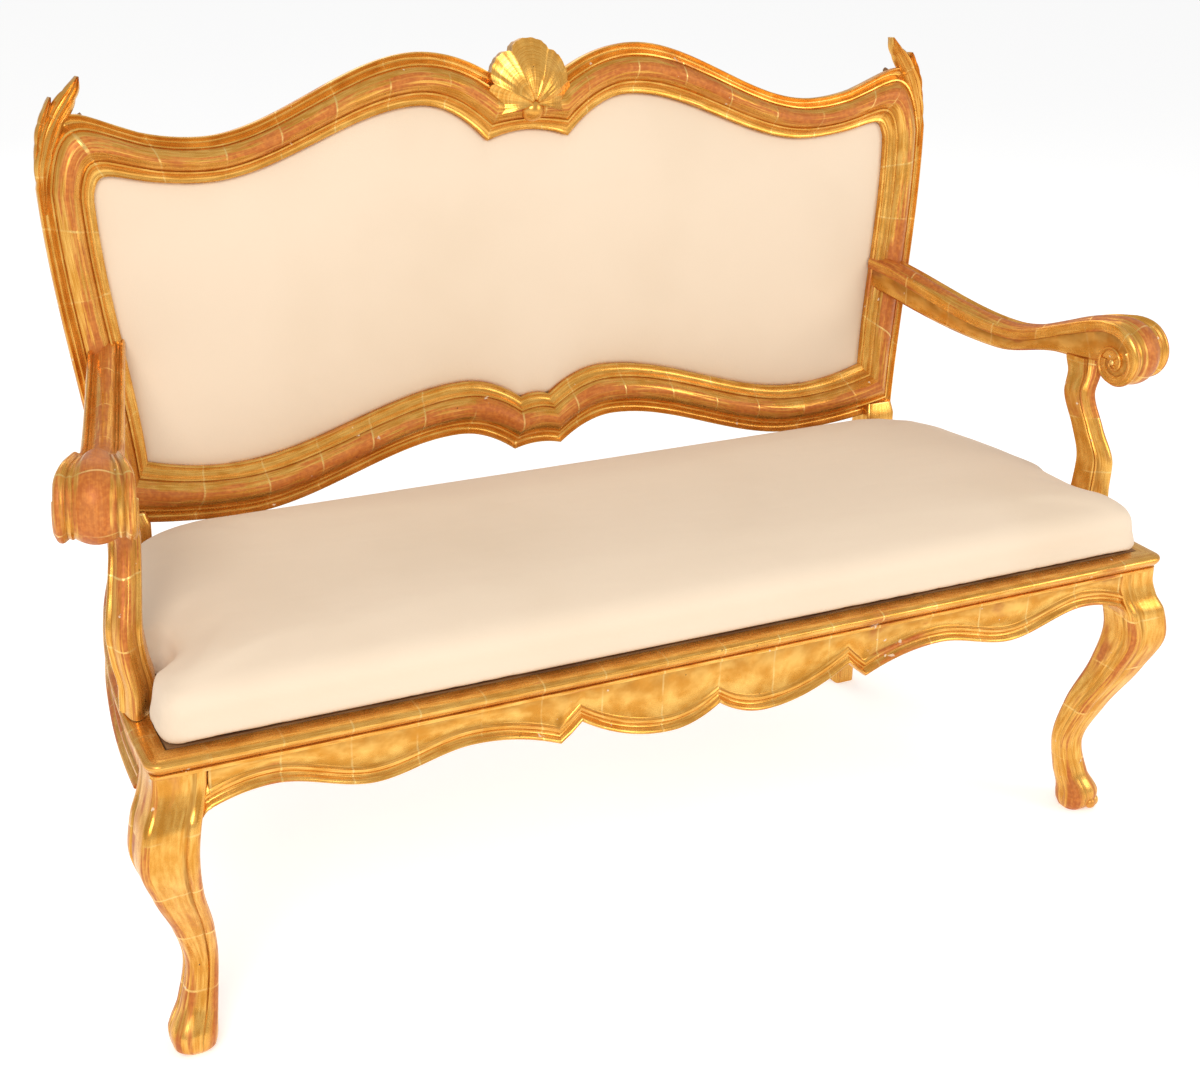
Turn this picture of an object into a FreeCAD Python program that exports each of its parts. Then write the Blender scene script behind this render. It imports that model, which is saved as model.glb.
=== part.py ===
import FreeCAD, Part
from FreeCAD import Placement, Rotation, Vector
import Sketcher
import math
import os

# A giltwood settee on cabriole legs, 18th-century taste, in millimetres.
# X runs along the seat, the front faces -Y and Z is up from the floor.
# While the pieces are made, the front of the seat rail is y = 0;
# the last step moves everything so that the origin is under the middle.

SIZES = (
    # seat frame
    ("rail_top", 410.0, "top of the seat rails above the floor"),
    ("front_half", 702.0, "half width over the front leg blocks"),
    ("back_half", 612.0, "half width over the back posts at the seat"),
    ("post_front", 498.0, "front rail face to the front of the back posts"),
    ("side_bow", 22.0, "how far each side rail bows out from straight"),
    ("rear_in", 16.0, "rear rail stands in front of the back posts"),
    ("rear_ledge", 14.0, "ledge on the rear rail that the loose seat rests on"),
    ("rail_thick", 32.0, "thickness of the seat rails"),
    ("rail_deep", 66.0, "depth of the side and rear rails"),
    ("lip_width", 20.0, "width of the lip left outside the seat rebate"),
    ("seat_drop", 20.0, "depth of the rebate that the loose seat sits in"),
    ("bead_size", 18.0, "height of the nosing along the rail top"),
    ("bead_proud", 8.0, "how far the nosing stands out from the rail"),
    ("block_side", 60.0, "side of the square block on a front leg"),
    ("tenon_thick", 10.0, "thickness of the rail tenons"),
    ("tenon_long", 24.0, "length of the rail tenons"),
    ("tenon_deep", 38.0, "depth of the rail tenons"),
    ("joint_gap", 0.2, "clearance round a tenon or dowel in its hole"),
    ("peg_width", 7.0, "diameter of the draw pegs"),
    # front apron, lower edge
    ("arch_x", 572.0, "middle of the arch beside each leg"),
    ("arch_z", 354.0, "top of that arch"),
    ("belly_x", 450.0, "middle of the ogee's low part"),
    ("belly_z", 327.0, "low part of the ogee"),
    ("ogee_x", 332.0, "middle of the ogee's high part"),
    ("ogee_z", 348.0, "high part of the ogee"),
    ("cusp_x", 218.0, "outer cusp"),
    ("cusp_z", 323.0, "point of the outer cusp"),
    ("notch_x", 191.0, "notch beside the cusp"),
    ("notch_z", 347.0, "top of that notch"),
    ("lobe_x", 68.0, "middle of each centre lobe"),
    ("lobe_z", 307.0, "bottom of each centre lobe"),
    ("mid_notch_z", 331.0, "notch between the two lobes"),
    ("apron_end_z", 340.0, "apron edge where it meets the leg"),
    ("lip_tall", 21.0, "height of the moulded lip on the apron edge"),
    ("lip_rise", 1.0, "apron edge left plain below that lip"),
    ("lip_proud", 7.0, "how far that lip stands out"),
    # front cabriole legs
    ("knee_z", 298.0, "height of the knee"),
    ("knee_out", 19.0, "knee stands out from the block, both ways"),
    ("knee_side", 66.0, "side of the knee"),
    ("ankle_z", 104.0, "height of the ankle"),
    ("ankle_in", 31.0, "ankle stands in from the block, both ways"),
    ("ankle_side", 36.0, "side of the ankle"),
    ("toe_z", 28.0, "height of the widest part of the foot"),
    ("toe_in", 15.0, "foot stands in from the block, both ways"),
    ("toe_side", 52.0, "side of the foot"),
    # back frame: inner edge round the panel, outer edge of the moulding
    ("rake", 0.13, "how far the back leans for each unit of height"),
    ("back_y", 518.0, "panel edge behind the front rail, at the datum"),
    ("back_datum", 450.0, "height of that datum"),
    ("panel_top_half", 589.0, "half width of the panel at its top corners"),
    ("panel_top_z", 908.0, "height of the panel's top corners"),
    ("panel_bottom_half", 556.0, "half width of the panel at the bottom"),
    ("panel_bottom_z", 537.0, "height of the panel's bottom corners"),
    ("crest_cusp_x", 61.0, "cusp under the shell"),
    ("crest_cusp_z", 915.0, "height of that cusp"),
    ("scallop_z", 927.0, "middle of the scallop between the cusps"),
    ("hump_x", 158.0, "middle of each hump of the crest"),
    ("hump_z", 967.0, "panel edge at the hump"),
    ("hump_wide", 70.0, "width of the crest moulding at the hump"),
    ("dip_x", 455.0, "middle of each dip of the crest"),
    ("dip_z", 887.0, "panel edge at the dip"),
    ("dip_wide", 58.0, "width of the crest moulding at the dip"),
    ("corner_half", 638.0, "half width over the top corners"),
    ("corner_z", 1000.0, "height of the top corners"),
    ("saddle_z", 986.0, "top of the crest behind the shell"),
    ("saddle_x", 46.0, "half width of that saddle"),
    ("saddle_side_z", 1000.0, "crest top at the sides of the saddle"),
    ("shoulder_half", 597.0, "widest half width of the panel"),
    ("shoulder_z", 874.0, "height where the panel is widest"),
    ("shoulder_wide", 70.0, "width of the stile there"),
    ("low_cusp_x", 22.0, "cusp in the top of the lower rail"),
    ("low_cusp_z", 556.0, "height of that cusp"),
    ("low_mid_z", 560.0, "lower rail's top between its cusps"),
    ("low_hump_x", 108.0, "middle of each hump of the lower rail"),
    ("low_hump_z", 588.0, "height of that hump"),
    ("low_dip_x", 440.0, "middle of each dip of the lower rail"),
    ("low_dip_z", 519.0, "height of that dip"),
    ("low_wide", 70.0, "width of the lower rail's moulding"),
    ("under_cusp_x", 36.0, "cusp in the underside of the lower rail"),
    ("under_cusp_z", 484.0, "height of that cusp"),
    ("under_mid_z", 489.0, "underside between those cusps"),
    ("under_end_z", 466.0, "underside at the posts"),
    ("frame_proud", 22.0, "height of the half-round above the panel edge"),
    ("frame_back", 22.0, "timber behind the panel edge"),
    ("panel_lip", 0.16, "share of the moulding that laps the panel"),
    ("lap_thick", 4.0, "thickness of the lip that holds the panel"),
    # back posts below the lower rail
    ("post_wide", 50.0, "width of a back post at the seat"),
    ("post_deep", 46.0, "depth of a back post at the seat"),
    ("foot_half", 562.0, "half distance between the back feet"),
    ("foot_side", 34.0, "side of a back foot"),
    ("foot_set", 8.0, "back foot stands forward of the post"),
    # arms
    ("arm_top_z", 694.0, "top of the arm at the post"),
    ("arm_root_half", 600.0, "half distance between the arms at the posts"),
    ("arm_root_y", 535.0, "where the arm line meets the post"),
    ("arm_end_half", 726.0, "half distance between the scrolls"),
    ("arm_end_y", 93.0, "front of the arm line"),
    ("arm_dip_s", 235.0, "along the arm to its lowest part"),
    ("arm_dip_z", 652.0, "top of the arm at its lowest part"),
    ("arm_thick", 33.0, "thickness of the arm there"),
    ("arm_wide", 50.0, "width of the arm"),
    ("eye_s", 424.0, "along the arm to the eye of the scroll"),
    ("eye_z", 655.0, "height of the eye of the scroll"),
    ("scroll_start", 51.0, "radius of the scroll where it leaves the arm"),
    ("scroll_end", 24.0, "radius of the scroll where it tucks under"),
    ("scroll_wide", 86.0, "width of the scroll"),
    # arm supports
    ("neck_z", 592.0, "height of the support's neck"),
    ("neck_deep", 30.0, "depth of the neck, front to back"),
    ("neck_wide", 34.0, "width of the neck"),
    ("neck_s", 380.0, "along the arm line to the neck"),
    ("bulge_z", 503.0, "height of the support's forward bulge"),
    ("bulge_s", 410.0, "along the arm line to the bulge"),
    ("bulge_deep", 41.0, "depth of the bulge"),
    ("bulge_wide", 40.0, "width of the bulge"),
    ("stand_s", 417.0, "along the arm line to the support's foot"),
    ("stand_deep", 60.0, "depth of the support's foot"),
    ("neck_in", 26.0, "neck stands in from the arm line"),
    ("bulge_in", 21.0, "bulge stands in from the arm line"),
    ("stand_in", 32.0, "support's foot stands in from the arm line"),
    ("notch_inner", 643.0, "half width of the seat between its side notches"),
    ("notch_front", 92.0, "front of the side notches"),
    ("notch_back", 196.0, "back of the side notches"),
    ("notch_corner", 28.0, "radius in the corners of the side notches"),
    # carving
    ("shell_half", 64.0, "half width of the shell"),
    ("shell_top_z", 1053.0, "top of the shell"),
    ("shell_base_z", 946.0, "bottom of the shell"),
    ("shell_lobes", 7.0, "number of lobes"),
    ("shell_proud", 36.0, "front of the shell above the panel edge"),
    ("leaf_tip_half", 606.0, "half distance between the ear tips"),
    ("leaf_tip_z", 1024.0, "height of the ear tips"),
    ("leaf_thick", 30.0, "thickness of an ear leaf"),
    # back panel
    ("fit_gap", 0.5, "clearance between soft parts and timber"),
    ("batten_thick", 12.0, "thickness of the panel's frame"),
    ("batten_wide", 42.0, "width of the panel's frame members"),
    ("back_crown", 15.0, "crown of the back pad"),
    ("web_wide", 50.0, "width of a webbing strap"),
    ("web_thick", 1.5, "thickness of a webbing strap"),
    ("web_pitch", 108.0, "spacing of the straps"),
    ("cloth_thick", 1.0, "thickness of hessian and covering cloth"),
    # loose seat
    ("seat_gap", 1.5, "clearance round the loose seat"),
    ("seat_member", 48.0, "width of the loose seat's members"),
    ("notch_gap", 3.0, "clearance round the arm supports"),
    ("pad_edge", 46.0, "height of the seat pad's upright side"),
    ("pad_reach", 150.0, "how far in from its edge the pad keeps rising"),
    ("pad_crown", 30.0, "crown of the seat pad above its edge"),
    ("pad_over", 4.0, "how far the pad bulges over the rail lip"),
    ("pad_corner", 26.0, "radius of the pad's front corners"),
    ("pad_rear_corner", 80.0, "radius of the pad's back corners"),
    ("pad_back", 20.0, "pad's top edge in front of the post faces"),
    ("block_leg", 74.0, "leg of a triangular corner block"),
    ("block_thick", 34.0, "thickness of a corner block"),
    ("screw_width", 5.0, "shank of the screws"),
)

doc = FreeCAD.newDocument("settee")
sheet = doc.addObject("Spreadsheet::Sheet", "Sizes")
for row, (alias, value, words) in enumerate(SIZES, start=1):
    sheet.set(f"A{row}", words)
    sheet.set(f"B{row}", str(value))
    sheet.setAlias(f"B{row}", alias)
doc.recompute()


class Sheet:
    """Reads a driving dimension by its alias."""

    def __getattr__(self, alias):
        return float(getattr(sheet, alias))


size = Sheet()
UP = Vector(0, 0, 1)
MIRROR = Vector(1, 0, 0)
pieces = []


def keep(name, shape):
    """Store one finished sub-part under its own label."""
    piece = doc.addObject("Part::Feature", name)
    piece.Label = name
    piece.Shape = shape
    pieces.append(piece)
    return piece


def mirrored(shape):
    """Mirror image of a shape in the middle plane."""
    return shape.mirror(Vector(0, 0, 0), MIRROR)


def pair(name, right_shape):
    """Store a right-hand shape and its mirror image."""
    keep(name + "_right", right_shape)
    keep(name + "_left", mirrored(right_shape))


def blend(start, end, start_rise, end_rise, t):
    """Cubic between two values with given end rises, at a share t of the way."""
    return (start * (2 * t**3 - 3 * t**2 + 1) + start_rise * (t**3 - 2 * t**2 + t)
            + end * (3 * t**2 - 2 * t**3) + end_rise * (t**3 - t**2))


def cubic(start, end, start_slope, end_slope, count):
    """Points of a cubic in x from start to end, the first left out."""
    run = end[0] - start[0]
    points = []
    for step in range(1, count + 1):
        t = step / count
        rise = blend(start[1], end[1], start_slope * run, end_slope * run, t)
        points.append((start[0] + run * t, rise))
    return points


def parabola_slope(low, high):
    """Slope at low of a parabola whose level point is high."""
    return 2 * (high[1] - low[1]) / (high[0] - low[0])


def round_rect(middle, wide, deep, corner, turn=0.0):
    """Wire of a level rectangle with rounded corners, about a middle point."""
    corner = min(corner, 0.49 * wide, 0.49 * deep)
    cut = corner * (1 - math.sqrt(0.5))
    edges = []
    corners = ((1, 1), (-1, 1), (-1, -1), (1, -1))
    spin = Rotation(UP, turn)

    def spot(across, along):
        return middle + spin.multVec(Vector(across, along, 0))

    arcs = []
    for index, (sx, sy) in enumerate(corners):
        x = sx * wide / 2
        y = sy * deep / 2
        side_point = spot(x, y - sy * corner)
        end_point = spot(x - sx * corner, y)
        bend = spot(x - sx * cut, y - sy * cut)
        if index % 2 == 0:
            arcs.append((side_point, bend, end_point))
        else:
            arcs.append((end_point, bend, side_point))
    for index, (first, bend, last) in enumerate(arcs):
        edges.append(Part.Arc(first, bend, last).toShape())
        edges.append(Part.makeLine(last, arcs[(index + 1) % 4][0]))
    return Part.Wire(edges)


def even_rows(stations, count):
    """Key rows, each led by its height, resampled at even heights without overshoot."""
    slopes = [[0.0] * len(stations[0]) for _ in stations]
    for index in range(1, len(stations) - 1):
        before, here, after = stations[index - 1:index + 2]
        for column in range(1, len(here)):
            rise_in = (here[column] - before[column]) / (here[0] - before[0])
            rise_out = (after[column] - here[column]) / (after[0] - here[0])
            if rise_in * rise_out > 0:
                slopes[index][column] = 2 * rise_in * rise_out / (rise_in + rise_out)
    low = stations[0][0]
    high = stations[-1][0]
    rows = []
    for step in range(count + 1):
        z = low + (high - low) * step / count
        index = 0
        while index < len(stations) - 2 and z > stations[index + 1][0]:
            index += 1
        start, end = stations[index], stations[index + 1]
        run = end[0] - start[0]
        row = [z]
        for column in range(1, len(start)):
            row.append(blend(start[column], end[column], slopes[index][column] * run,
                             slopes[index + 1][column] * run, (z - start[0]) / run))
        rows.append(row)
    return rows


def box(x0, x1, y0, y1, z0, z1):
    return Part.makeBox(x1 - x0, y1 - y0, z1 - z0, Vector(x0, y0, z0))


# the seat in plan: a trapezoid whose sides are shallow arcs

SIDE_A = Vector(size.front_half, 0, 0)
SIDE_B = Vector(size.back_half, size.post_front, 0)
SIDE_CHORD = SIDE_B.sub(SIDE_A)
SIDE_RADIUS = (SIDE_CHORD.Length**2 / 4 + size.side_bow**2) / (2 * size.side_bow)
OUTWARD = Vector(SIDE_CHORD.y, -SIDE_CHORD.x, 0).normalize()
SIDE_CENTRE = (SIDE_A + SIDE_B).multiply(0.5) - OUTWARD * (SIDE_RADIUS - size.side_bow)


def side_x(y, inset=0.0):
    """Half width of the seat at y, drawn in by an inset."""
    radius = SIDE_RADIUS - inset
    return SIDE_CENTRE.x + math.sqrt(radius**2 - (y - SIDE_CENTRE.y)**2)


def side_arc(y0, y1, inset, z, hand=1):
    """Arc edge of the seat's side at one height, from y0 to y1."""
    spots = [Vector(hand * side_x(y, inset), y, z) for y in (y0, (y0 + y1) / 2, y1)]
    return Part.Arc(*spots).toShape()


def plan_face(front, back, inset, z):
    """Face of the seat's plan between two depths, with its sides drawn in."""
    right = side_arc(front, back, inset, z)
    left = side_arc(back, front, inset, z, -1)
    rear = Part.makeLine(Vector(side_x(back, inset), back, z), Vector(-side_x(back, inset), back, z))
    fore = Part.makeLine(Vector(-side_x(front, inset), front, z), Vector(side_x(front, inset), front, z))
    return Part.Face(Part.Wire([right, rear, left, fore]))


RAIL_BOTTOM = size.rail_top - size.rail_deep
REST_Z = size.rail_top - size.seat_drop
REAR_IN = size.post_front - size.rear_in
REAR_LIP = REAR_IN + size.rear_ledge


def side_notches(low, high, gap=0.0):
    """Prisms at the sides of the seat that leave room for the arm supports."""
    x0 = size.notch_inner - gap
    x1 = size.front_half + 60
    y0 = size.notch_front - gap
    y1 = size.notch_back + gap
    middle = Vector((x0 + x1) / 2, (y0 + y1) / 2, low)
    right = Part.Face(round_rect(middle, x1 - x0, y1 - y0, size.notch_corner)).extrude(UP * (high - low))
    return [right, mirrored(right)]


def seat_well():
    """Space cut from rails and blocks for the loose seat."""
    well = plan_face(size.lip_width, REAR_LIP, size.lip_width, REST_Z).extrude(UP * (2 * size.seat_drop))
    return well.cut(side_notches(REST_Z - 1, REST_Z + 3 * size.seat_drop))


# the raked back: x across, z up its face, height proud of it

LEAN = Vector(0, -1, size.rake).normalize()


def on_back(x, z, height=0.0):
    y = size.back_y + size.rake * (z - size.back_datum)
    return Vector(x, y, z) + LEAN * height


def crest_lines():
    """Inner and outer edge of the crest's right half, cusp to corner."""
    cusp = (size.crest_cusp_x, size.crest_cusp_z)
    hump = (size.hump_x, size.hump_z)
    dip = (size.dip_x, size.dip_z)
    corner = (size.panel_top_half, size.panel_top_z)
    inner = [cusp]
    inner += cubic(cusp, hump, parabola_slope(cusp, hump), 0, 3)
    inner += cubic(hump, dip, 0, 0, 6)
    inner += cubic(dip, corner, 0, parabola_slope(corner, dip), 3)
    saddle = (size.saddle_x, size.saddle_side_z)
    high = (size.hump_x + 4, size.hump_z + size.hump_wide)
    low = (size.dip_x + 5, size.dip_z + size.dip_wide)
    tip = (size.corner_half, size.corner_z)
    outer = [saddle]
    outer += cubic(saddle, high, parabola_slope(saddle, high), 0, 3)
    outer += cubic(high, low, 0, 0, 6)
    outer += cubic(low, tip, 0, parabola_slope(tip, low), 3)
    return inner, outer


def lower_lines():
    """Upper and lower edge of the lower rail's right half, cusp to post."""
    cusp = (size.low_cusp_x, size.low_cusp_z)
    hump = (size.low_hump_x, size.low_hump_z)
    dip = (size.low_dip_x, size.low_dip_z)
    corner = (size.panel_bottom_half, size.panel_bottom_z)
    upper = [cusp]
    upper += cubic(cusp, hump, parabola_slope(cusp, hump), 0, 3)
    upper += cubic(hump, dip, 0, 0, 6)
    upper += cubic(dip, corner, 0, parabola_slope(corner, dip), 3)
    under_cusp = (size.under_cusp_x, size.under_cusp_z)
    under_hump = (size.low_hump_x + 14, size.low_hump_z - size.low_wide - 2)
    under_dip = (size.low_dip_x - 8, size.low_dip_z - size.low_wide)
    under_end = (size.back_half, size.under_end_z)
    lower = [under_cusp]
    lower += cubic(under_cusp, under_hump, parabola_slope(under_cusp, under_hump), 0, 3)
    lower += cubic(under_hump, under_dip, 0, 0, 6)
    lower += cubic(under_dip, under_end, 0, parabola_slope(under_end, under_dip), 3)
    return upper, lower


def stile_lines():
    """Inner and outer edge of the right stile, top corner to bottom corner."""
    top = (size.panel_top_z, size.panel_top_half)
    shoulder = (size.shoulder_z, size.shoulder_half)
    bottom = (size.panel_bottom_z, size.panel_bottom_half)
    fall = 0.6 * (bottom[1] - shoulder[1]) / (bottom[0] - shoulder[0])
    inner = [top]
    inner += cubic(top, shoulder, parabola_slope(top, shoulder), 0, 2)
    inner += cubic(shoulder, bottom, 0.5 * fall, fall, 6)
    peak = (size.corner_z, size.corner_half)
    wide = (size.shoulder_z + 20, size.shoulder_half + size.shoulder_wide)
    end = (size.under_end_z, size.back_half)
    drop = 0.8 * (end[1] - wide[1]) / (end[0] - wide[0])
    outer = [peak]
    outer += cubic(peak, wide, parabola_slope(peak, wide), 0, 2)
    outer += cubic(wide, end, 0.5 * drop, drop, 6)
    return [(x, z) for z, x in inner], [(x, z) for z, x in outer]


def frame_profile():
    """Moulding across the back frame: share of its width, height above the panel edge."""
    crown = size.frame_proud
    back = -size.frame_back
    lap = size.panel_lip
    thin = -size.lap_thick
    return (0.0, thin), (
        ("line", (0.0, 2.0)),
        ("arc", (0.04, 5.0), (0.08, 2.5)),
        ("arc", (0.17, 4.5), (0.24, 12.0)),
        ("line", (0.29, 12.5)),
        ("line", (0.31, 8.5)),
        ("arc", (0.50, crown), (0.69, 8.5)),
        ("line", (0.71, 12.5)),
        ("line", (0.76, 12.0)),
        ("arc", (0.86, 1.5), (1.0, 3.0)),
        ("line", (1.0, -3.0)),
        ("line", (0.88, back)),
        ("line", (lap, back)),
        ("line", (lap, thin)),
        ("line", (0.0, thin)),
    )


def section(inner, outer, start, steps, place=on_back):
    """Wire of a moulding's section between an inner and an outer point."""

    def spot(share_height):
        share, height = share_height
        x = inner[0] + share * (outer[0] - inner[0])
        z = inner[1] + share * (outer[1] - inner[1])
        return place(x, z, height)

    edges = []
    last = spot(start)
    for step in steps:
        target = spot(step[-1])
        if step[0] == "arc":
            edges.append(Part.Arc(last, spot(step[1]), target).toShape())
        else:
            edges.append(Part.makeLine(last, target))
        last = target
    return Part.Wire(edges)


def moulding(inner, outer, profile, place=on_back):
    """Solid of a moulding that runs between two matched lines of points."""
    start, steps = profile
    wires = [section(a, b, start, steps, place) for a, b in zip(inner, outer)]
    return Part.makeLoft(wires, True, False)


def join(*shapes):
    """One solid from shapes that share faces or overlap."""
    result = shapes[0].fuse(list(shapes[1:])).removeSplitter()
    return result.Solids[0] if len(result.Solids) == 1 else result


def rail_with_middle(inner, outer, mid_inner, mid_outer, profile):
    """Whole rail: right half, left half and the short middle between the cusps."""
    right = moulding(inner, outer, profile)
    half_in = (inner[0][0] / 2, (inner[0][1] + 3 * mid_inner[1]) / 4)
    half_out = (outer[0][0] / 2, (outer[0][1] + 3 * mid_outer[1]) / 4)
    mids_in = [inner[0], half_in, mid_inner]
    mids_out = [outer[0], half_out, mid_outer]
    mids_in += [(-x, z) for x, z in (half_in, inner[0])]
    mids_out += [(-x, z) for x, z in (half_out, outer[0])]
    middle = moulding(mids_in, mids_out, profile)
    return join(right, middle, mirrored(right))


# back posts: a leg below, a core behind the lower rail, a moulded stile above

def post_leg():
    """Lower part of a right back post, from the floor to the lower rail."""
    half = size.back_half - size.post_wide / 2 - 1
    middle = size.post_front + size.post_deep / 2
    straight = RAIL_BOTTOM - 8
    stations = (
        (0.0, size.foot_half, middle - size.foot_set, size.foot_side, size.foot_side),
        (80.0, size.foot_half + 4, middle - 1, size.foot_side, size.foot_side),
        (200.0, half - 11, middle + 1, size.foot_side + 7, size.foot_side + 6),
        (straight, half, middle, size.post_wide, size.post_deep),
    )
    wires = [round_rect(Vector(x, y, z), wide, deep, 5.0)
             for z, x, y, wide, deep in even_rows(stations, 8)]
    lower_leg = Part.makeLoft(wires, True, False)
    seat_part = Part.Face(round_rect(Vector(half, middle, straight), size.post_wide, size.post_deep, 5.0))
    return join(lower_leg, seat_part.extrude(UP * (size.under_end_z - 8 - straight)))


def post_core():
    """Timber behind the corner of the lower rail, which the rail laps over."""
    inner = (size.panel_bottom_half + 12, size.panel_bottom_z + 10)
    low = size.under_end_z - 12
    profile = ((0.0, -size.lap_thick - 3), (
        ("line", (1.0, -size.lap_thick - 3)),
        ("line", (1.0, -size.frame_back + 1)),
        ("line", (0.0, -size.frame_back + 1)),
        ("line", (0.0, -size.lap_thick - 3)),
    ))
    outer_x = size.back_half - 5
    return moulding([(inner[0], low), inner], [(outer_x, low), (outer_x, inner[1])], profile)


def post_foot():
    """Core and leg together: what the lower rail is fitted over."""
    return join(post_core(), post_leg())


def stile_backing():
    """Everything behind the panel lip within the stile's width."""
    thin = -size.lap_thick
    deep = -size.frame_back - 20
    profile = ((0.0, thin), (("line", (1.0, thin)), ("line", (1.0, deep)), ("line", (0.0, deep)),
                             ("line", (0.0, thin))))
    return moulding(stile_inner, stile_outer, profile)


crest_inner, crest_outer = crest_lines()
lower_upper, lower_under = lower_lines()
stile_inner, stile_outer = stile_lines()
stile = moulding(stile_inner, stile_outer, frame_profile())
foot = post_foot()
post = join(stile, foot)
crest = rail_with_middle(crest_inner, crest_outer, (0.0, size.scallop_z), (0.0, size.saddle_z), frame_profile())
lower = rail_with_middle(lower_upper, lower_under, (0.0, size.low_mid_z), (0.0, size.under_mid_z), frame_profile())
lower = lower.cut([foot, mirrored(foot)])


def line_dowel(point, direction, width, length):
    """Cylinder centred on a point."""
    start = point - Vector(direction).normalize() * (length / 2)
    return Part.makeCylinder(width / 2, length, start, direction)


DOWEL_LONG = 44.0


def corner_dowels(grow=0.0):
    """Two dowels across the right top mitre, one through the lap below."""
    inner, outer = crest_inner[-1], crest_outer[-1]
    along = Vector(outer[0] - inner[0], 0, outer[1] - inner[1]).normalize()
    across = along.cross(LEAN)
    dowels = []
    for share in (0.38, 0.66):
        x = inner[0] + share * (outer[0] - inner[0])
        z = inner[1] + share * (outer[1] - inner[1])
        spot = on_back(x, z, -size.frame_back / 3)
        dowels.append(line_dowel(spot, across, size.peg_width + 2 * grow, DOWEL_LONG + 2 * grow))
    lap_x = (size.panel_bottom_half + size.back_half) / 2 + 4
    lap_z = (size.panel_bottom_z + size.under_end_z) / 2
    lap = on_back(lap_x, lap_z, -size.lap_thick - 3)
    dowels.append(line_dowel(lap, LEAN, size.peg_width + 2 * grow, 16.0 + 2 * grow))
    return dowels


dowel_holes = corner_dowels(size.joint_gap)
post = post.cut(dowel_holes)
all_holes = dowel_holes + [mirrored(hole) for hole in dowel_holes]
crest = crest.cut(all_holes)
lower = lower.cut(all_holes)
dowels = corner_dowels()
keep("back_frame_dowels", Part.makeCompound(dowels + [mirrored(dowel) for dowel in dowels]))


# seat rails and front legs

def leg_loft():
    """Right front cabriole leg below its block, through level rounded squares."""
    block_x = size.front_half - size.block_side / 2
    block_y = size.block_side / 2
    stations = (
        (0.0, -size.toe_in - 2, size.toe_side - 12, 15.0),
        (9.0, -size.toe_in, size.toe_side - 3, 18.0),
        (size.toe_z, -size.toe_in, size.toe_side, 19.0),
        (0.55 * size.ankle_z, 7 - size.ankle_in, size.ankle_side + 5, 14.0),
        (size.ankle_z, -size.ankle_in, size.ankle_side, 12.0),
        (size.ankle_z + 60, -0.6 * size.ankle_in, size.ankle_side + 9, 12.0),
        (size.knee_z - 62, 0.35 * size.knee_out, size.knee_side - 10, 13.0),
        (size.knee_z, size.knee_out, size.knee_side, 13.0),
        (size.apron_end_z - 4, 0.7 * size.knee_out, size.knee_side - 1, 11.0),
        (size.apron_end_z + 20, 1.0, size.block_side + 1, 8.0),
    )
    wires = []
    for z, out, side, corner in even_rows(stations, 20):
        wires.append(round_rect(Vector(block_x + out, block_y - out, z), side, side, corner))
    return Part.makeLoft(wires, True, False)


def leg_block():
    """Square block on top of a front leg, with the nosing round its outer corner."""
    x1 = size.front_half
    x0 = x1 - size.block_side
    core = box(x0, x1, 0, size.block_side, size.apron_end_z + 10, size.rail_top)
    top = box(x0, x1 + size.bead_proud, -size.bead_proud, size.block_side,
              size.rail_top - size.bead_size, size.rail_top)
    rounded = []
    for edge in top.Edges:
        middle = edge.CenterOfMass
        ends_level = abs(edge.BoundBox.ZLength) < 0.01
        if ends_level and (middle.y < -size.bead_proud + 0.01 or middle.x > x1 + size.bead_proud - 0.01):
            rounded.append(edge)
    top = top.makeFillet(min(size.bead_proud, 0.45 * size.bead_size), rounded)
    return join(core, top)


def tenon_box(y_mid, z_mid, long):
    """Tenon lying along X about the origin's end."""
    return box(0, long, y_mid - size.tenon_thick / 2, y_mid + size.tenon_thick / 2,
               z_mid - size.tenon_deep / 2, z_mid + size.tenon_deep / 2)


def grown(x0, x1, y0, y1, z0, z1, gap):
    return box(x0 - gap, x1 + gap, y0 - gap, y1 + gap, z0 - gap, z1 + gap)


TENON_Z0 = size.rail_top - size.seat_drop - size.tenon_deep - 6
TENON_Z1 = TENON_Z0 + size.tenon_deep
BLOCK_IN = size.front_half - size.block_side


def front_tenon(gap=0.0):
    y0 = (size.rail_thick - size.tenon_thick) / 2
    return grown(BLOCK_IN - 2, BLOCK_IN + size.tenon_long, y0, y0 + size.tenon_thick,
                 TENON_Z0, TENON_Z1, gap)


def side_tenon(gap=0.0):
    """Tenon at the front end of a right side rail, into the leg block."""
    middle = side_x(size.block_side) - size.rail_thick / 2 - 3
    return grown(middle - size.tenon_thick / 2, middle + size.tenon_thick / 2,
                 size.block_side - size.tenon_long, size.block_side + 6, TENON_Z0, TENON_Z1, gap)


def side_back_tenon(gap=0.0):
    """Tenon at the back end of a right side rail, into the post."""
    middle = side_x(size.post_front) - size.rail_thick / 2 - 6
    return grown(middle - size.tenon_thick / 2, middle + size.tenon_thick / 2,
                 size.post_front - 6, size.post_front + size.tenon_long, TENON_Z0, TENON_Z1, gap)


POST_IN = size.back_half - size.post_wide - 1


def rear_tenon(gap=0.0):
    """Tenon at the right end of the rear rail, into the post, behind the side rail's."""
    y0 = size.post_front + size.post_deep - 10 - size.tenon_thick
    return grown(POST_IN - 2, POST_IN + size.tenon_long, y0, y0 + size.tenon_thick,
                 TENON_Z0, TENON_Z1, gap)


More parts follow.
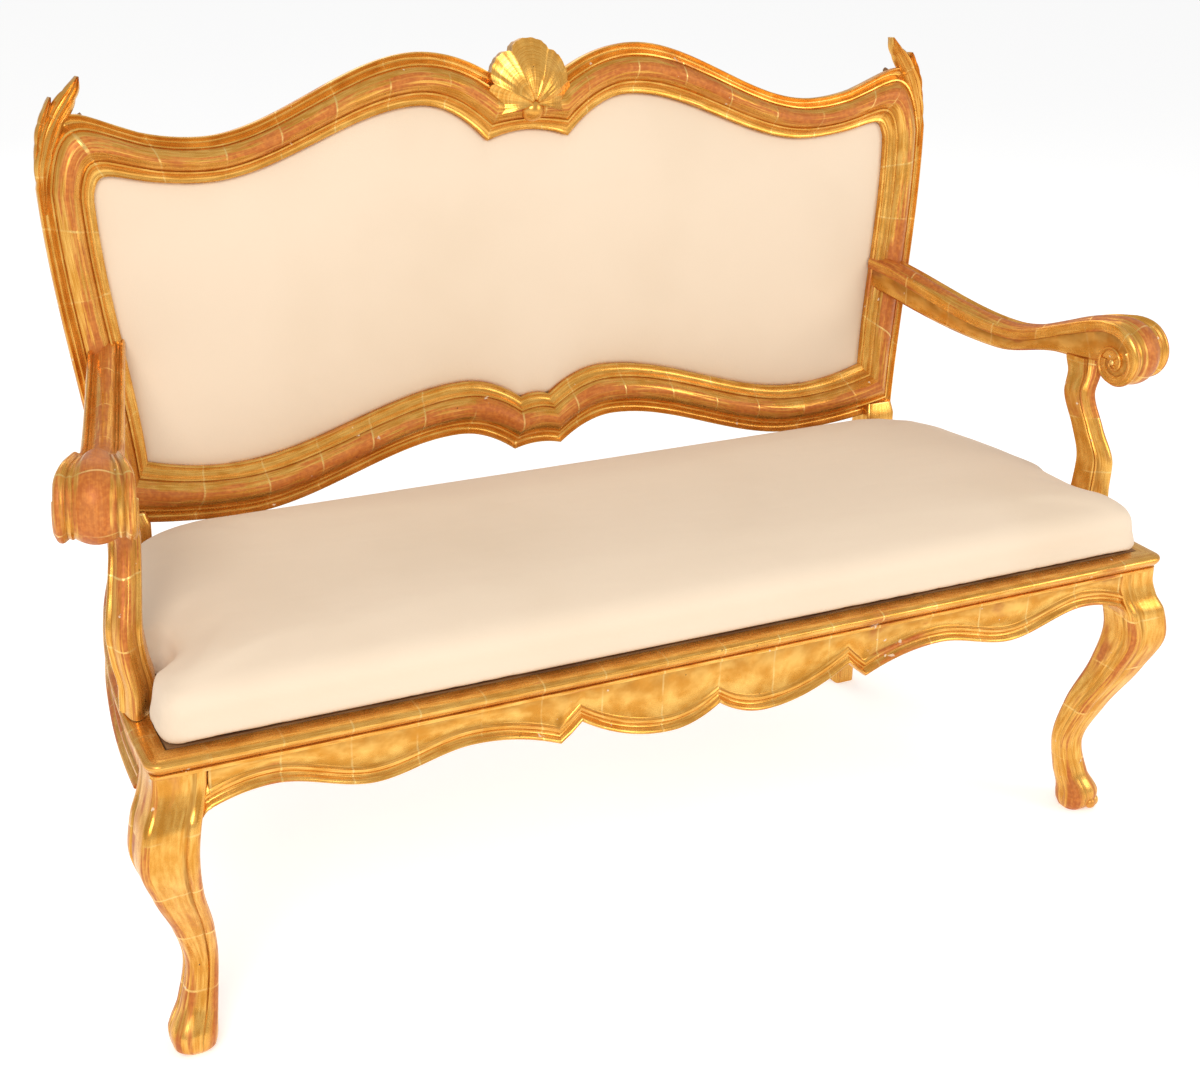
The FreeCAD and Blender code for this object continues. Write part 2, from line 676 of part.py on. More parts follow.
def apron_points():
    """Lower edge of the apron's right half as runs of points, leg to centre."""
    end = (BLOCK_IN, size.apron_end_z)
    arch = (size.arch_x, size.arch_z)
    belly = (size.belly_x, size.belly_z)
    ogee = (size.ogee_x, size.ogee_z)
    cusp = (size.cusp_x, size.cusp_z)
    notch = (size.notch_x, size.notch_z)
    lobe = (size.lobe_x, size.lobe_z)
    middle = (0.0, size.mid_notch_z)
    sweep = [end] + cubic(end, arch, parabola_slope(end, arch), 0, 4)
    sweep += cubic(arch, belly, 0, 0, 5)
    sweep += cubic(belly, ogee, 0, 0, 5)
    sweep += cubic(ogee, cusp, 0, parabola_slope(cusp, ogee), 4)
    step = [cusp, notch]
    swell = [notch] + cubic(notch, lobe, parabola_slope(notch, lobe), 0, 5)
    swell += cubic(lobe, middle, 0, parabola_slope(middle, lobe), 4)
    return sweep, step, swell


def curve_edge(points, y):
    """Smooth edge through points given as x and z."""
    spots = [Vector(x, y, z) for x, z in points]
    if len(spots) == 2:
        return Part.makeLine(*spots)
    curve = Part.BSplineCurve()
    curve.interpolate(spots)
    return curve.toShape()


def on_front(x, z, height=0.0):
    return Vector(x, -height, z)


def front_rail():
    """Front rail with its shaped apron, nosing, edge lip, rebate and tenons."""
    runs = apron_points()
    edges = [curve_edge(run, 0.0) for run in runs]
    edges += [curve_edge([(-x, z) for x, z in reversed(run)], 0.0) for run in reversed(runs)]
    top = size.rail_top
    right = Vector(BLOCK_IN, 0, size.apron_end_z)
    left = Vector(-BLOCK_IN, 0, size.apron_end_z)
    edges.append(Part.makeLine(left, Vector(-BLOCK_IN, 0, top)))
    edges.append(Part.makeLine(Vector(-BLOCK_IN, 0, top), Vector(BLOCK_IN, 0, top)))
    edges.append(Part.makeLine(Vector(BLOCK_IN, 0, top), right))
    board = Part.Face(Part.Wire(Part.sortEdges(edges)[0])).extrude(Vector(0, size.rail_thick, 0))
    nose = box(-BLOCK_IN, BLOCK_IN, -size.bead_proud, 2, top - size.bead_size, top)
    front_edges = [edge for edge in nose.Edges
                   if edge.BoundBox.XLength > BLOCK_IN and edge.CenterOfMass.y < -size.bead_proud + 0.01]
    nose = nose.makeFillet(min(size.bead_proud, 0.45 * size.bead_size), front_edges)
    rim = size.lip_proud
    profile = ((0.0, -2.0), (
        ("line", (0.0, rim - 2)),
        ("arc", (0.22, rim + 1), (0.45, rim - 2.5)),
        ("line", (0.5, 2.0)),
        ("arc", (0.75, 1.0), (1.0, 0.5)),
        ("line", (1.0, -2.0)),
        ("line", (0.0, -2.0)),
    ))
    lips = []
    for run in runs:
        base = [(x, z + size.lip_rise) for x, z in run]
        raised = [(x, z + size.lip_tall) for x, z in run]
        lips.append(moulding(base, raised, profile, on_front))
    lips += [mirrored(lip) for lip in lips]
    rail = join(board, nose, *lips)
    tenons = [front_tenon(), mirrored(front_tenon())]
    return join(rail.cut(seat_well()), *tenons)


def side_rail():
    """Right side rail, bowed in plan, with its nosing, rebate and tenons."""
    front = size.block_side
    back = size.post_front + 4
    outer = side_arc(front, back, 0.0, RAIL_BOTTOM)
    inner = side_arc(back, front, size.rail_thick, RAIL_BOTTOM)
    ends = [Part.makeLine(outer.lastVertex().Point, inner.firstVertex().Point),
            Part.makeLine(inner.lastVertex().Point, outer.firstVertex().Point)]
    board = Part.Face(Part.Wire([outer, ends[0], inner, ends[1]])).extrude(UP * size.rail_deep)
    nose_low = size.rail_top - size.bead_size
    nose_out = side_arc(front, back, -size.bead_proud, nose_low)
    nose_in = side_arc(back, front, 2.0, nose_low)
    nose_ends = [Part.makeLine(nose_out.lastVertex().Point, nose_in.firstVertex().Point),
                 Part.makeLine(nose_in.lastVertex().Point, nose_out.firstVertex().Point)]
    nose = Part.Face(Part.Wire([nose_out, nose_ends[0], nose_in, nose_ends[1]])).extrude(UP * size.bead_size)
    outer_edges = [edge for edge in nose.Edges
                   if edge.Curve.TypeId == "Part::GeomCircle"
                   and abs(edge.Curve.Radius - SIDE_RADIUS - size.bead_proud) < 0.01]
    nose = nose.makeFillet(min(size.bead_proud, 0.45 * size.bead_size), outer_edges)
    rail = join(board, nose).cut([seat_well(), post])
    return join(rail, side_tenon(), side_back_tenon())


def rear_rail():
    """Rear rail between the posts, with the rebate for the loose seat."""
    back = size.post_front + size.post_deep - 4
    rail = box(-POST_IN - 3, POST_IN + 3, REAR_IN, back, RAIL_BOTTOM, size.rail_top)
    rail = rail.cut([seat_well(), post, mirrored(post)])
    return join(rail, rear_tenon(), mirrored(rear_tenon()))


leg = join(leg_loft(), leg_block())
leg = leg.cut([seat_well(), front_tenon(size.joint_gap), side_tenon(size.joint_gap)])
post = post.cut([side_back_tenon(size.joint_gap), rear_tenon(size.joint_gap)])
fore_rail = front_rail()
flank_rail = side_rail()
back_rail = rear_rail()


# draw pegs through the tenons

def peg(point, direction, long, grow=0.0):
    """Peg that starts at a point and runs inwards."""
    return Part.makeCylinder(size.peg_width / 2 + grow, long, point, direction)


def peg_set(grow=0.0):
    """Right-hand pegs: two in the leg block, one in each face of the post."""
    high = TENON_Z1 - 9
    low = TENON_Z0 + 9
    front_x = BLOCK_IN + size.tenon_long / 2 - 1
    side_y = size.block_side - size.tenon_long / 2 + 1
    depth = size.rail_thick - 6
    pegs = [peg(Vector(front_x, 0.5, z), Vector(0, 1, 0), depth, grow) for z in (low, high)]
    start_x = size.front_half - 0.5
    pegs.append(peg(Vector(start_x, side_y + 2, (low + high) / 2), Vector(-1, 0, 0), depth, grow))
    rear_y = size.post_front + size.post_deep - 2
    rear_x = POST_IN + size.tenon_long / 2 + 1
    pegs.append(peg(Vector(rear_x, rear_y, low), Vector(0, -1, 0), 20.0, grow))
    return pegs


holes = peg_set(size.joint_gap)
mirrored_holes = [mirrored(hole) for hole in holes]
leg = leg.cut(holes)
post = post.cut(holes)
fore_rail = fore_rail.cut(holes + mirrored_holes)
flank_rail = flank_rail.cut(holes)
back_rail = back_rail.cut(holes + mirrored_holes)
pegs = peg_set()
keep("tenon_pegs", Part.makeCompound(pegs + [mirrored(one) for one in pegs]))


# arms: sawn to a side outline and a plan outline, then their common solid

ARM_DIR = Vector(size.arm_end_half - size.arm_root_half, size.arm_end_y - size.arm_root_y, 0).normalize()
ARM_OUT = Vector(-ARM_DIR.y, ARM_DIR.x, 0)
ARM_ROOT = Vector(size.arm_root_half, size.arm_root_y, 0)


def on_arm(s, z, out=0.0):
    return ARM_ROOT + ARM_DIR * s + ARM_OUT * out + UP * z


def scroll_point(degrees):
    """Point of the scroll's outer edge, 100 degrees at the arm, -180 tucked under."""
    share = (degrees + 180.0) / 280.0
    radius = size.scroll_end + (size.scroll_start - size.scroll_end) * share
    angle = math.radians(degrees)
    return (size.eye_s + radius * math.cos(angle), size.eye_z + radius * math.sin(angle))


CROTCH_S = size.neck_s - 48
CROTCH_Z = size.eye_z - 15


def arm_side_face(out):
    """Side outline of the arm on a plane set out from the arm line."""
    root = (-22.0, size.arm_top_z + 3)
    dip = (size.arm_dip_s, size.arm_dip_z)
    crown = scroll_point(100)
    hump = (crown[0] - 22, crown[1] - 3)
    top = [root] + cubic(root, dip, -0.10, 0, 4) + cubic(dip, hump, 0, 0.2, 4) + [crown]
    curl = [scroll_point(degrees) for degrees in range(100, -181, -40)]
    under_dip = (size.arm_dip_s - 10, size.arm_dip_z - size.arm_thick)
    crotch = (CROTCH_S, CROTCH_Z)
    heel = (-22.0, size.arm_top_z - 38)
    belly = [crotch] + cubic(crotch, under_dip, 0.0, 0, 3) + cubic(under_dip, heel, 0, -0.22, 3)
    tuck = curl[-1]
    shelf = [tuck, (tuck[0] - 4, CROTCH_Z), crotch]

    def edge(points):
        spots = [on_arm(s, z, out) for s, z in points]
        curve = Part.BSplineCurve()
        curve.interpolate(spots)
        return curve.toShape()

    def lines(points):
        spots = [on_arm(s, z, out) for s, z in points]
        return [Part.makeLine(a, b) for a, b in zip(spots, spots[1:])]

    edges = [edge(top), edge(curl)] + lines(shelf) + [edge(belly)] + lines([heel, root])
    return Part.Face(Part.Wire(edges))


def arm_plan_face(z):
    """Plan outline of the arm, which widens into the scroll."""
    half = size.arm_wide / 2
    flare = size.scroll_wide / 2
    stations = ((-24, half - 2), (size.arm_dip_s, half), (size.eye_s - 45, half + 3),
                (size.eye_s - 8, flare - 8), (size.eye_s + 25, flare), (size.eye_s + 60, flare + 1))
    loops = []
    for hand in (1, -1):
        spots = [on_arm(s, z, hand * wide) for s, wide in stations]
        curve = Part.BSplineCurve()
        curve.interpolate(spots)
        loops.append(curve.toShape())
    caps = [Part.makeLine(loops[0].lastVertex().Point, loops[1].lastVertex().Point),
            Part.makeLine(loops[0].firstVertex().Point, loops[1].firstVertex().Point)]
    return Part.Face(Part.Wire(Part.sortEdges(loops + caps)[0]))


def arm_tenon(gap=0.0):
    """Tenon of the arm, square to the arm line, into the post."""
    block = box(-12 - gap, 26 + gap, -9 - gap, 9 + gap, -11 - gap, 11 + gap)
    turn = math.degrees(math.atan2(-ARM_DIR.y, -ARM_DIR.x))
    block.Placement = Placement(on_arm(16, size.arm_top_z - 20), Rotation(UP, turn))
    return block


arm_side = arm_side_face(-80).extrude(ARM_OUT * 160)
arm_plan = arm_plan_face(size.eye_z - 90).extrude(UP * 200)
arm = arm_side.common(arm_plan).cut([post, stile_backing()])
arm = join(arm, arm_tenon())
post = post.cut(arm_tenon(size.joint_gap))


def arm_support():
    """Right arm support: level rounded sections along its S curve."""
    rest = size.rail_top
    top = CROTCH_Z
    top_front = scroll_point(-180)[0] - 8
    top_s = (CROTCH_S + top_front) / 2
    stations = (
        (rest, size.stand_s, size.stand_in, size.stand_deep, size.bulge_wide),
        (rest + 24, size.stand_s - 1, size.stand_in, size.stand_deep - 5, size.bulge_wide),
        (rest + 58, size.bulge_s + 3, size.bulge_in + 4, size.bulge_deep + 5, size.bulge_wide),
        (size.bulge_z, size.bulge_s, size.bulge_in, size.bulge_deep, size.bulge_wide),
        (0.5 * (size.bulge_z + size.neck_z), 0.5 * (size.bulge_s + size.neck_s),
         0.5 * (size.bulge_in + size.neck_in), size.neck_deep + 2, size.neck_wide + 2),
        (size.neck_z, size.neck_s, size.neck_in, size.neck_deep, size.neck_wide),
        (top - 20, size.neck_s - 6, 0.6 * size.neck_in, size.neck_deep + 12, size.neck_wide + 1),
        (top, top_s, 0.4 * size.neck_in, top_front - CROTCH_S, size.neck_wide + 2),
    )
    turn = math.degrees(math.atan2(ARM_OUT.y, ARM_OUT.x))
    wires = [round_rect(on_arm(s, z, -inward), wide, deep, 8.0, turn)
             for z, s, inward, deep, wide in even_rows(stations, 14)]
    return Part.makeLoft(wires, True, False)


support = arm_support()


def support_screws(grow=0.0):
    """Two screws up through the side rail into the foot of the right support."""
    screws = []
    for step in (-14.0, 14.0):
        spot = on_arm(size.stand_s + step, 0, -size.stand_in)
        rail_mid = side_x(spot.y) - size.rail_thick / 2
        low = Vector(rail_mid, spot.y, size.rail_top - 52)
        shank = Part.makeCylinder(size.screw_width / 2 + grow, 52 + 24 + grow, low)
        head = Part.makeCylinder(size.screw_width + grow, 3 + grow, low)
        well = Part.makeCylinder(size.screw_width + grow, 20, Vector(low.x, low.y, low.z - 17))
        screws.append(join(shank, head))
        if grow > 0:
            screws.append(well)
    return screws


screw_holes = support_screws(size.joint_gap)
support = support.cut(screw_holes)
flank_rail = flank_rail.cut(screw_holes)
screws = support_screws()
keep("arm_support_screws", Part.makeCompound(screws + [mirrored(one) for one in screws]))

pair("arm_support", support)
pair("arm", arm)
pair("front_leg", leg)
pair("back_post", post)
pair("side_rail", flank_rail)
keep("front_rail", fore_rail)
keep("rear_rail", back_rail)
keep("crest_rail", crest)
keep("lower_back_rail", lower)


# carving: the shell on the crest and the leaf on each ear

def shell_shape():
    """Fan of lobes with a domed front, let onto the crest."""
    lobes = int(round(size.shell_lobes))
    root_z = size.shell_base_z + 22
    rise = size.shell_top_z - root_z
    low = -2.0
    spread = 180.0 / lobes

    def rim(degrees, cut_in):
        angle = math.radians(degrees)
        return on_back((size.shell_half - cut_in) * math.cos(angle),
                       root_z + (rise - cut_in) * math.sin(angle), low)

    edges = []
    for index in range(lobes):
        start = index * spread
        edges.append(Part.Arc(rim(start, 6.0), rim(start + spread / 2, 0.0), rim(start + spread, 6.0)).toShape())
    edges.append(Part.Arc(rim(180.0, 6.0), on_back(0, size.shell_base_z, low), rim(0.0, 6.0)).toShape())
    fan = Part.Face(Part.Wire(edges)).extrude(LEAN * (size.shell_proud - low))
    dome_radius = 170.0
    dome = Part.makeSphere(dome_radius, on_back(0, root_z + 0.4 * rise, size.shell_proud - dome_radius))
    return fan.common(dome).cut(crest)


def leaf_shape():
    """Ear leaf wrapped on the right top corner."""
    tip = (size.leaf_tip_half, size.leaf_tip_z)
    wide = (size.shoulder_half + size.shoulder_wide, size.shoulder_z)
    corner = (size.corner_half, size.corner_z)
    outer = [tip, (corner[0] - 8, corner[1] + 4), (corner[0] + 6, corner[1] - 6),
             (wide[0] - 6, corner[1] - 50), (wide[0] + 4, wide[1] + 30), (wide[0] + 3, wide[1] - 20)]
    inner = [(wide[0] - 10, wide[1] + 6), (corner[0] + 2, corner[1] - 62),
             (corner[0] - 26, corner[1] - 30), (tip[0] - 8, tip[1] - 34), tip]
    low = -0.45 * size.leaf_thick

    def edge(points):
        curve = Part.BSplineCurve()
        curve.interpolate([on_back(x, z, low) for x, z in points])
        return curve.toShape()

    outline = [edge(outer), Part.makeLine(on_back(*outer[-1], low), on_back(*inner[0], low)), edge(inner)]
    leaf = Part.Face(Part.Wire(outline)).extrude(LEAN * size.leaf_thick)
    return leaf.cut([crest, post] + corner_dowels(size.joint_gap))


keep("shell_carving", shell_shape())
pair("ear_leaf", leaf_shape())


# back panel: a batten frame in the rebate, webbing, pad and outside cloth

def offset_line(points, towards, distance):
    """Move each point of an edge towards its matched outer point."""
    moved = []
    for (x, z), (ox, oz) in zip(points, towards):
        length = math.hypot(ox - x, oz - z)
        moved.append((x + (ox - x) * distance / length, z + (oz - z) * distance / length))
    return moved


def panel_lines(lap):
    """Top and bottom edge of the panel with its corners, lapped behind the lip."""
    top_half = offset_line(crest_inner, crest_outer, lap)
    low_half = offset_line(lower_upper, lower_under, lap)
    top_mid = [(0.0, size.scallop_z + lap)]
    low_mid = [(0.0, size.low_mid_z - lap)]
    return top_mid + top_half, low_mid + low_half


def lap_width():
    """How far the panel may lap behind the moulding's lip."""
    return size.panel_lip * size.dip_wide - size.fit_gap


def strip(edge_a, edge_b, low, high):
    """Ruled slab between two matched lines on the back, from low to high."""
    profile = ((0.0, low), (("line", (0.0, high)), ("line", (1.0, high)),
                            ("line", (1.0, low)), ("line", (0.0, low))))
    start, steps = profile
    wires = [section(a, b, start, steps) for a, b in zip(edge_a, edge_b)]
    return Part.makeLoft(wires, True, True)


def whole(right_half):
    """Right half and its mirror image as one solid."""
    return join(right_half, mirrored(right_half))


LAYER_GAP = 0.2
BATTEN_HIGH = -size.lap_thick - size.fit_gap - size.cloth_thick - size.web_thick - LAYER_GAP
BATTEN_LOW = BATTEN_HIGH - size.batten_thick


def batten_frame():
    """Top, bottom and side members of the panel frame, in that order."""
    lap = lap_width() - 2.5
    top_edge, low_edge = panel_lines(lap)
    wide = size.batten_wide
    top_in = [(x, z - wide) for x, z in top_edge]
    low_in = [(x, z + wide) for x, z in low_edge]
    top = whole(strip(top_edge, top_in, BATTEN_LOW, BATTEN_HIGH))
    low = whole(strip(low_edge, low_in, BATTEN_LOW, BATTEN_HIGH))
    side_edge = offset_line(stile_inner, stile_outer, lap)
    side_in = [(x - wide, z) for x, z in side_edge]
    side = strip(side_edge, side_in, BATTEN_LOW, BATTEN_HIGH)
    side = side.cut([top, low])
    largest = max(side.Solids, key=lambda solid: solid.Volume)
    return top, low, largest


top_batten, low_batten, side_batten = batten_frame()
keep("panel_frame_top", top_batten)
keep("panel_frame_bottom", low_batten)
pair("panel_frame_side", side_batten)


def between(points, x):
    """Height of a line of points at x."""
    for (x0, z0), (x1, z1) in zip(points, points[1:]):
        if x0 <= x <= x1:
            return z0 + (z1 - z0) * (x - x0) / (x1 - x0)
    return points[-1][1]


def back_straps():
    """Upright webbing straps across the panel frame, behind the back pad."""
    top_edge, low_edge = panel_lines(0.0)
    straps = []
    count = int(size.panel_bottom_half // size.web_pitch)
    half = size.web_wide / 2
    for step in range(-count, count + 1):
        x = step * size.web_pitch
        near, far = sorted((abs(x - half), abs(x + half)))
        bottom = max(between(low_edge, near), between(low_edge, far)) - 2
        top = min(between(top_edge, near), between(top_edge, far)) + 2
        straps.append(strip([(x - half, bottom), (x + half, bottom)], [(x - half, top), (x + half, top)],
                            BATTEN_HIGH, BATTEN_HIGH + size.web_thick))
    return straps


WING = 30.0


def wing_lines(lap):
    """Edge of the panel along the stile, and a line a little way in from it."""
    top_edge, low_edge = panel_lines(lap)
    side = offset_line(stile_inner, stile_outer, lap)
    inner = []
    for x, z in side:
        ceiling = between(top_edge, x - WING) - 1
        floor = between(low_edge, x - WING) + 1
        inner.append((x - WING, max(floor, min(z, ceiling))))
    return side, inner


def flat_panel(low, high, lap):
    """Closed slab with the panel's whole outline."""
    top_edge, low_edge = panel_lines(lap)
    body = whole(strip(low_edge, top_edge, low, high))
    wing = strip(*wing_lines(lap), low, high)
    return join(body, wing, mirrored(wing))


CORNER_DROP = 4.0


def back_pad_shape():
    """Stuffed back: a slab behind the lip with a crowned front inside it."""
    low = -size.lap_thick - size.fit_gap
    base = low - size.cloth_thick
    slab = flat_panel(base, low, lap_width() - 1.5)
    inset = 1.5
    top_edge, low_edge = panel_lines(-inset)
    crown = size.back_crown
    wires = []
    stations = list(zip(low_edge, top_edge))
    reach = size.panel_top_half
    for bottom, (top_x, top_z) in stations:
        swell = crown * max(0.0, 1 - (bottom[0] / reach)**4)
        top = (top_x, top_z - CORNER_DROP * (top_x / reach)**8)
        wires.append(section(bottom, top, (0.0, low - 0.5), (
            ("line", (0.0, low + 1.0)),
            ("arc", (0.5, low + 2.0 + swell), (1.0, low + 1.0)),
            ("line", (1.0, low - 0.5)),
            ("line", (0.0, low - 0.5)),
        )))
    crowned = whole(Part.makeLoft(wires, True, True))
    wires = []
    for line_points in zip(*wing_lines(-inset)):
        outer_point, inner_point = [(x, min(z, between(top_edge, x) - CORNER_DROP)) for x, z in line_points]
        wires.append(section(outer_point, inner_point, (0.0, low - 0.5), (
            ("line", (0.0, low + 1.0)),
            ("line", (1.0, low + 1.8)),
            ("line", (1.0, low - 0.5)),
            ("line", (0.0, low - 0.5)),
        )))
    flank = Part.makeLoft(wires, True, True)
    return join(slab, crowned, flank, mirrored(flank))


keep("back_webbing", Part.makeCompound(back_straps()))
keep("back_pad", back_pad_shape())
CLOTH_HIGH = -size.frame_back - 0.3
keep("outside_back_cloth", flat_panel(CLOTH_HIGH - size.cloth_thick, CLOTH_HIGH, lap_width() + 9))


# the loose seat: a frame of four members and two braces, webbing, pad and cloths

SEAT_FRONT = size.lip_width + size.seat_gap
SEAT_BACK = REAR_LIP - size.seat_gap
SEAT_INSET = size.lip_width + size.seat_gap
SEAT_LOW = REST_Z
SEAT_HIGH = REST_Z + size.seat_drop


def seat_member(front, back, inset_out, inset_in=None):
    """Level member of the loose seat cut to the seat's plan."""
    slab = plan_face(front, back, inset_out, SEAT_LOW).extrude(UP * size.seat_drop)
    if inset_in is not None:
        inner = plan_face(front - 1, back + 1, inset_in, SEAT_LOW - 1).extrude(UP * (size.seat_drop + 2))
        slab = slab.cut(inner)
    return slab


clear = side_notches(SEAT_LOW - 1, SEAT_HIGH + 1, size.notch_gap)
member = size.seat_member
seat_front = seat_member(SEAT_FRONT, SEAT_FRONT + member, SEAT_INSET)
seat_back = seat_member(SEAT_BACK - member, SEAT_BACK, SEAT_INSET)
both_sides = seat_member(SEAT_FRONT + member, SEAT_BACK - member, SEAT_INSET, SEAT_INSET + member + 14)
both_sides = both_sides.cut(clear)
side_member = max(both_sides.Solids, key=lambda solid: solid.CenterOfMass.x)
keep("seat_frame_front", seat_front)
keep("seat_frame_rear", seat_back)
pair("seat_frame_side", side_member)

BRACE_X = 210.0
brace = box(BRACE_X - member / 2, BRACE_X + member / 2, SEAT_FRONT + member, SEAT_BACK - member,
            SEAT_LOW + 4, SEAT_HIGH)
pair("seat_frame_brace", brace)


def seat_straps():
    """Webbing of the loose seat: long straps below, cross straps over them."""
    straps = []
    half = size.web_wide / 2
    z = SEAT_HIGH
    y = SEAT_FRONT + 14 + half
    while y + half < SEAT_BACK - 10:
        end = side_x(y + half, SEAT_INSET) - member
        straps.append(box(-end, end, y - half, y + half, z, z + size.web_thick))
        y += size.web_pitch
    count = int((side_x(SEAT_BACK, SEAT_INSET) - member) // size.web_pitch)
    for step in range(-count, count + 1):
        x = step * size.web_pitch
        straps.append(box(x - half, x + half, SEAT_FRONT + 10, SEAT_BACK - 10,
                          z + size.web_thick, z + 2 * size.web_thick))
    return straps


keep("seat_webbing", Part.makeCompound(seat_straps()))

HESSIAN_Z = SEAT_HIGH + 2 * size.web_thick
hessian = plan_face(SEAT_FRONT + 4, SEAT_BACK - 4, SEAT_INSET + 4, HESSIAN_Z).extrude(UP * size.cloth_thick)
hessian = hessian.cut(side_notches(HESSIAN_Z - 1, HESSIAN_Z + 3, size.notch_gap))
keep("seat_hessian", hessian)

DUST_Z = SEAT_LOW - size.cloth_thick
dust_inset = size.block_side + 6
dust = plan_face(size.rail_thick + 3, REAR_IN - 6, dust_inset, DUST_Z).extrude(UP * size.cloth_thick)
keep("seat_dust_cover", dust)


def pad_wire(front, back, inset, growth, z):
    """Level outline of the seat pad: four sides and four round corners."""
    edges = []
    near = min(size.pad_corner + growth, 0.3 * (back - front))
    far = min(size.pad_rear_corner + growth, 0.5 * (back - front))
    front_side = Vector(side_x(front + near, inset), front + near, z)
    back_side = Vector(side_x(back - far, inset), back - far, z)
    fore = Vector(side_x(front, inset) - near, front, z)
    rear = Vector(side_x(back, inset) - far, back, z)
    share = 1 - math.sqrt(0.5)
    fore_bend = Vector(side_x(front + near * share, inset) - near * share, front + near * share, z)
    rear_bend = Vector(side_x(back - far * share, inset) - far * share, back - far * share, z)

    def flip(spot):
        return Vector(-spot.x, spot.y, spot.z)

    middle_y = (front_side.y + back_side.y) / 2
    right_mid = Vector(side_x(middle_y, inset), middle_y, z)
    edges.append(Part.Arc(fore, fore_bend, front_side).toShape())
    edges.append(Part.Arc(front_side, right_mid, back_side).toShape())
    edges.append(Part.Arc(back_side, rear_bend, rear).toShape())
    edges.append(Part.makeLine(rear, flip(rear)))
    edges.append(Part.Arc(flip(rear), flip(rear_bend), flip(back_side)).toShape())
    edges.append(Part.Arc(flip(back_side), flip(right_mid), flip(front_side)).toShape())
    edges.append(Part.Arc(flip(front_side), flip(fore_bend), flip(fore)).toShape())
    edges.append(Part.makeLine(flip(fore), fore))
    return Part.Wire(edges)


PAD_LOW = HESSIAN_Z + size.cloth_thick + 0.3


PROFILE_STEPS = 200
PAD_ROWS = 16


def even_lengths(points, count):
    """Points spaced evenly along a line of points."""
    lengths = [0.0]
    for (a, b), (c, d) in zip(points, points[1:]):
        lengths.append(lengths[-1] + math.hypot(c - a, d - b))
    spaced = []
    index = 0
    for step in range(count + 1):
        target = lengths[-1] * step / count
        while index < len(lengths) - 2 and lengths[index + 1] < target:
            index += 1
        share = (target - lengths[index]) / (lengths[index + 1] - lengths[index])
        (a, b), (c, d) = points[index], points[index + 1]
        spaced.append((a + (c - a) * share, b + (d - b) * share))
    return spaced


def seat_pad_shape():
    """Crowned seat pad, drawn in below and notched round the arm supports."""
    front = size.lip_width
    back = size.post_front - size.pad_back
    belly_z = PAD_LOW + 0.35 * size.pad_edge
    top_z = PAD_LOW + size.pad_edge + size.pad_crown
    profile = [(PAD_LOW, 0.0)]
    for step in range(PROFILE_STEPS + 1):
        angle = math.pi / 2 * step / PROFILE_STEPS
        inward = size.pad_reach * (1 - math.cos(angle))**2 - size.pad_over
        profile.append((belly_z + (top_z - belly_z) * math.sin(angle), inward))
    wires = []
    for z, inward in even_lengths(profile, PAD_ROWS):
        growth = 0.1 * max(inward, 0.0)
        wires.append(pad_wire(front + inward, back - inward, size.lip_width + inward, growth, z))
    pad = Part.makeLoft(wires, True, False)
    return pad.cut(side_notches(PAD_LOW - 5, top_z + 5))


keep("seat_pad", seat_pad_shape())


# corner blocks: triangular prisms glued and screwed inside the seat rails

def corner_block(name, x, y, turn):
    """Triangular block with its right angle at x, y, turned about Z."""
    body = doc.addObject("PartDesign::Body", name + "_body")
    sketch = body.newObject("Sketcher::SketchObject", name + "_sketch")
    plane = [item for item in body.Origin.OriginFeatures if item.Role == "XY_Plane"][0]
    sketch.AttachmentSupport = [(plane, "")]
    sketch.MapMode = "FlatFace"
    leg_long = size.block_leg
    points = [Vector(0, 0, 0), Vector(leg_long, 0, 0), Vector(0, leg_long, 0)]
    for index in range(3):
        sketch.addGeometry(Part.LineSegment(points[index], points[(index + 1) % 3]), False)
    for index in range(3):
        sketch.addConstraint(Sketcher.Constraint("Coincident", index, 2, (index + 1) % 3, 1))
    sketch.addConstraint(Sketcher.Constraint("Coincident", 0, 1, -1, 1))
    sketch.addConstraint(Sketcher.Constraint("Horizontal", 0))
    sketch.addConstraint(Sketcher.Constraint("Vertical", 2))
    across = sketch.addConstraint(Sketcher.Constraint("Distance", 0, leg_long))
    sketch.setExpression(f"Constraints[{across}]", "Sizes.block_leg")
    up = sketch.addConstraint(Sketcher.Constraint("Distance", 2, leg_long))
    sketch.setExpression(f"Constraints[{up}]", "Sizes.block_leg")
    pad = body.newObject("PartDesign::Pad", name + "_pad")
    pad.Profile = sketch
    pad.setExpression("Length", "Sizes.block_thick")
    body.Tip = pad
    body.Label = name
    body.Placement = Placement(Vector(x, y, REST_Z - 5 - size.block_thick), Rotation(UP, turn))
    pieces.append(body)
    return body


INNER_FRONT = size.rail_thick + 0.2
FRONT_BLOCK_X = BLOCK_IN - 0.3
corner_block("front_corner_block_right", FRONT_BLOCK_X, INNER_FRONT, 90)
corner_block("front_corner_block_left", -FRONT_BLOCK_X, INNER_FRONT, 0)
REAR_BLOCK_X = side_x(REAR_IN - 1, size.rail_thick) - 2
corner_block("rear_corner_block_right", REAR_BLOCK_X, REAR_IN - 0.3, 180)
corner_block("rear_corner_block_left", -REAR_BLOCK_X, REAR_IN - 0.3, 270)

doc.recompute()

# origin under the middle of everything
bounds = FreeCAD.BoundBox()
for piece in pieces:
    bounds.add(piece.Shape.optimalBoundingBox(False))
shift = Vector(-bounds.Center.x, -bounds.Center.y, -bounds.ZMin)
print("shift", shift)
for piece in pieces:
    place = piece.Placement
    place.Base = place.Base + shift
    piece.Placement = place
doc.recompute()

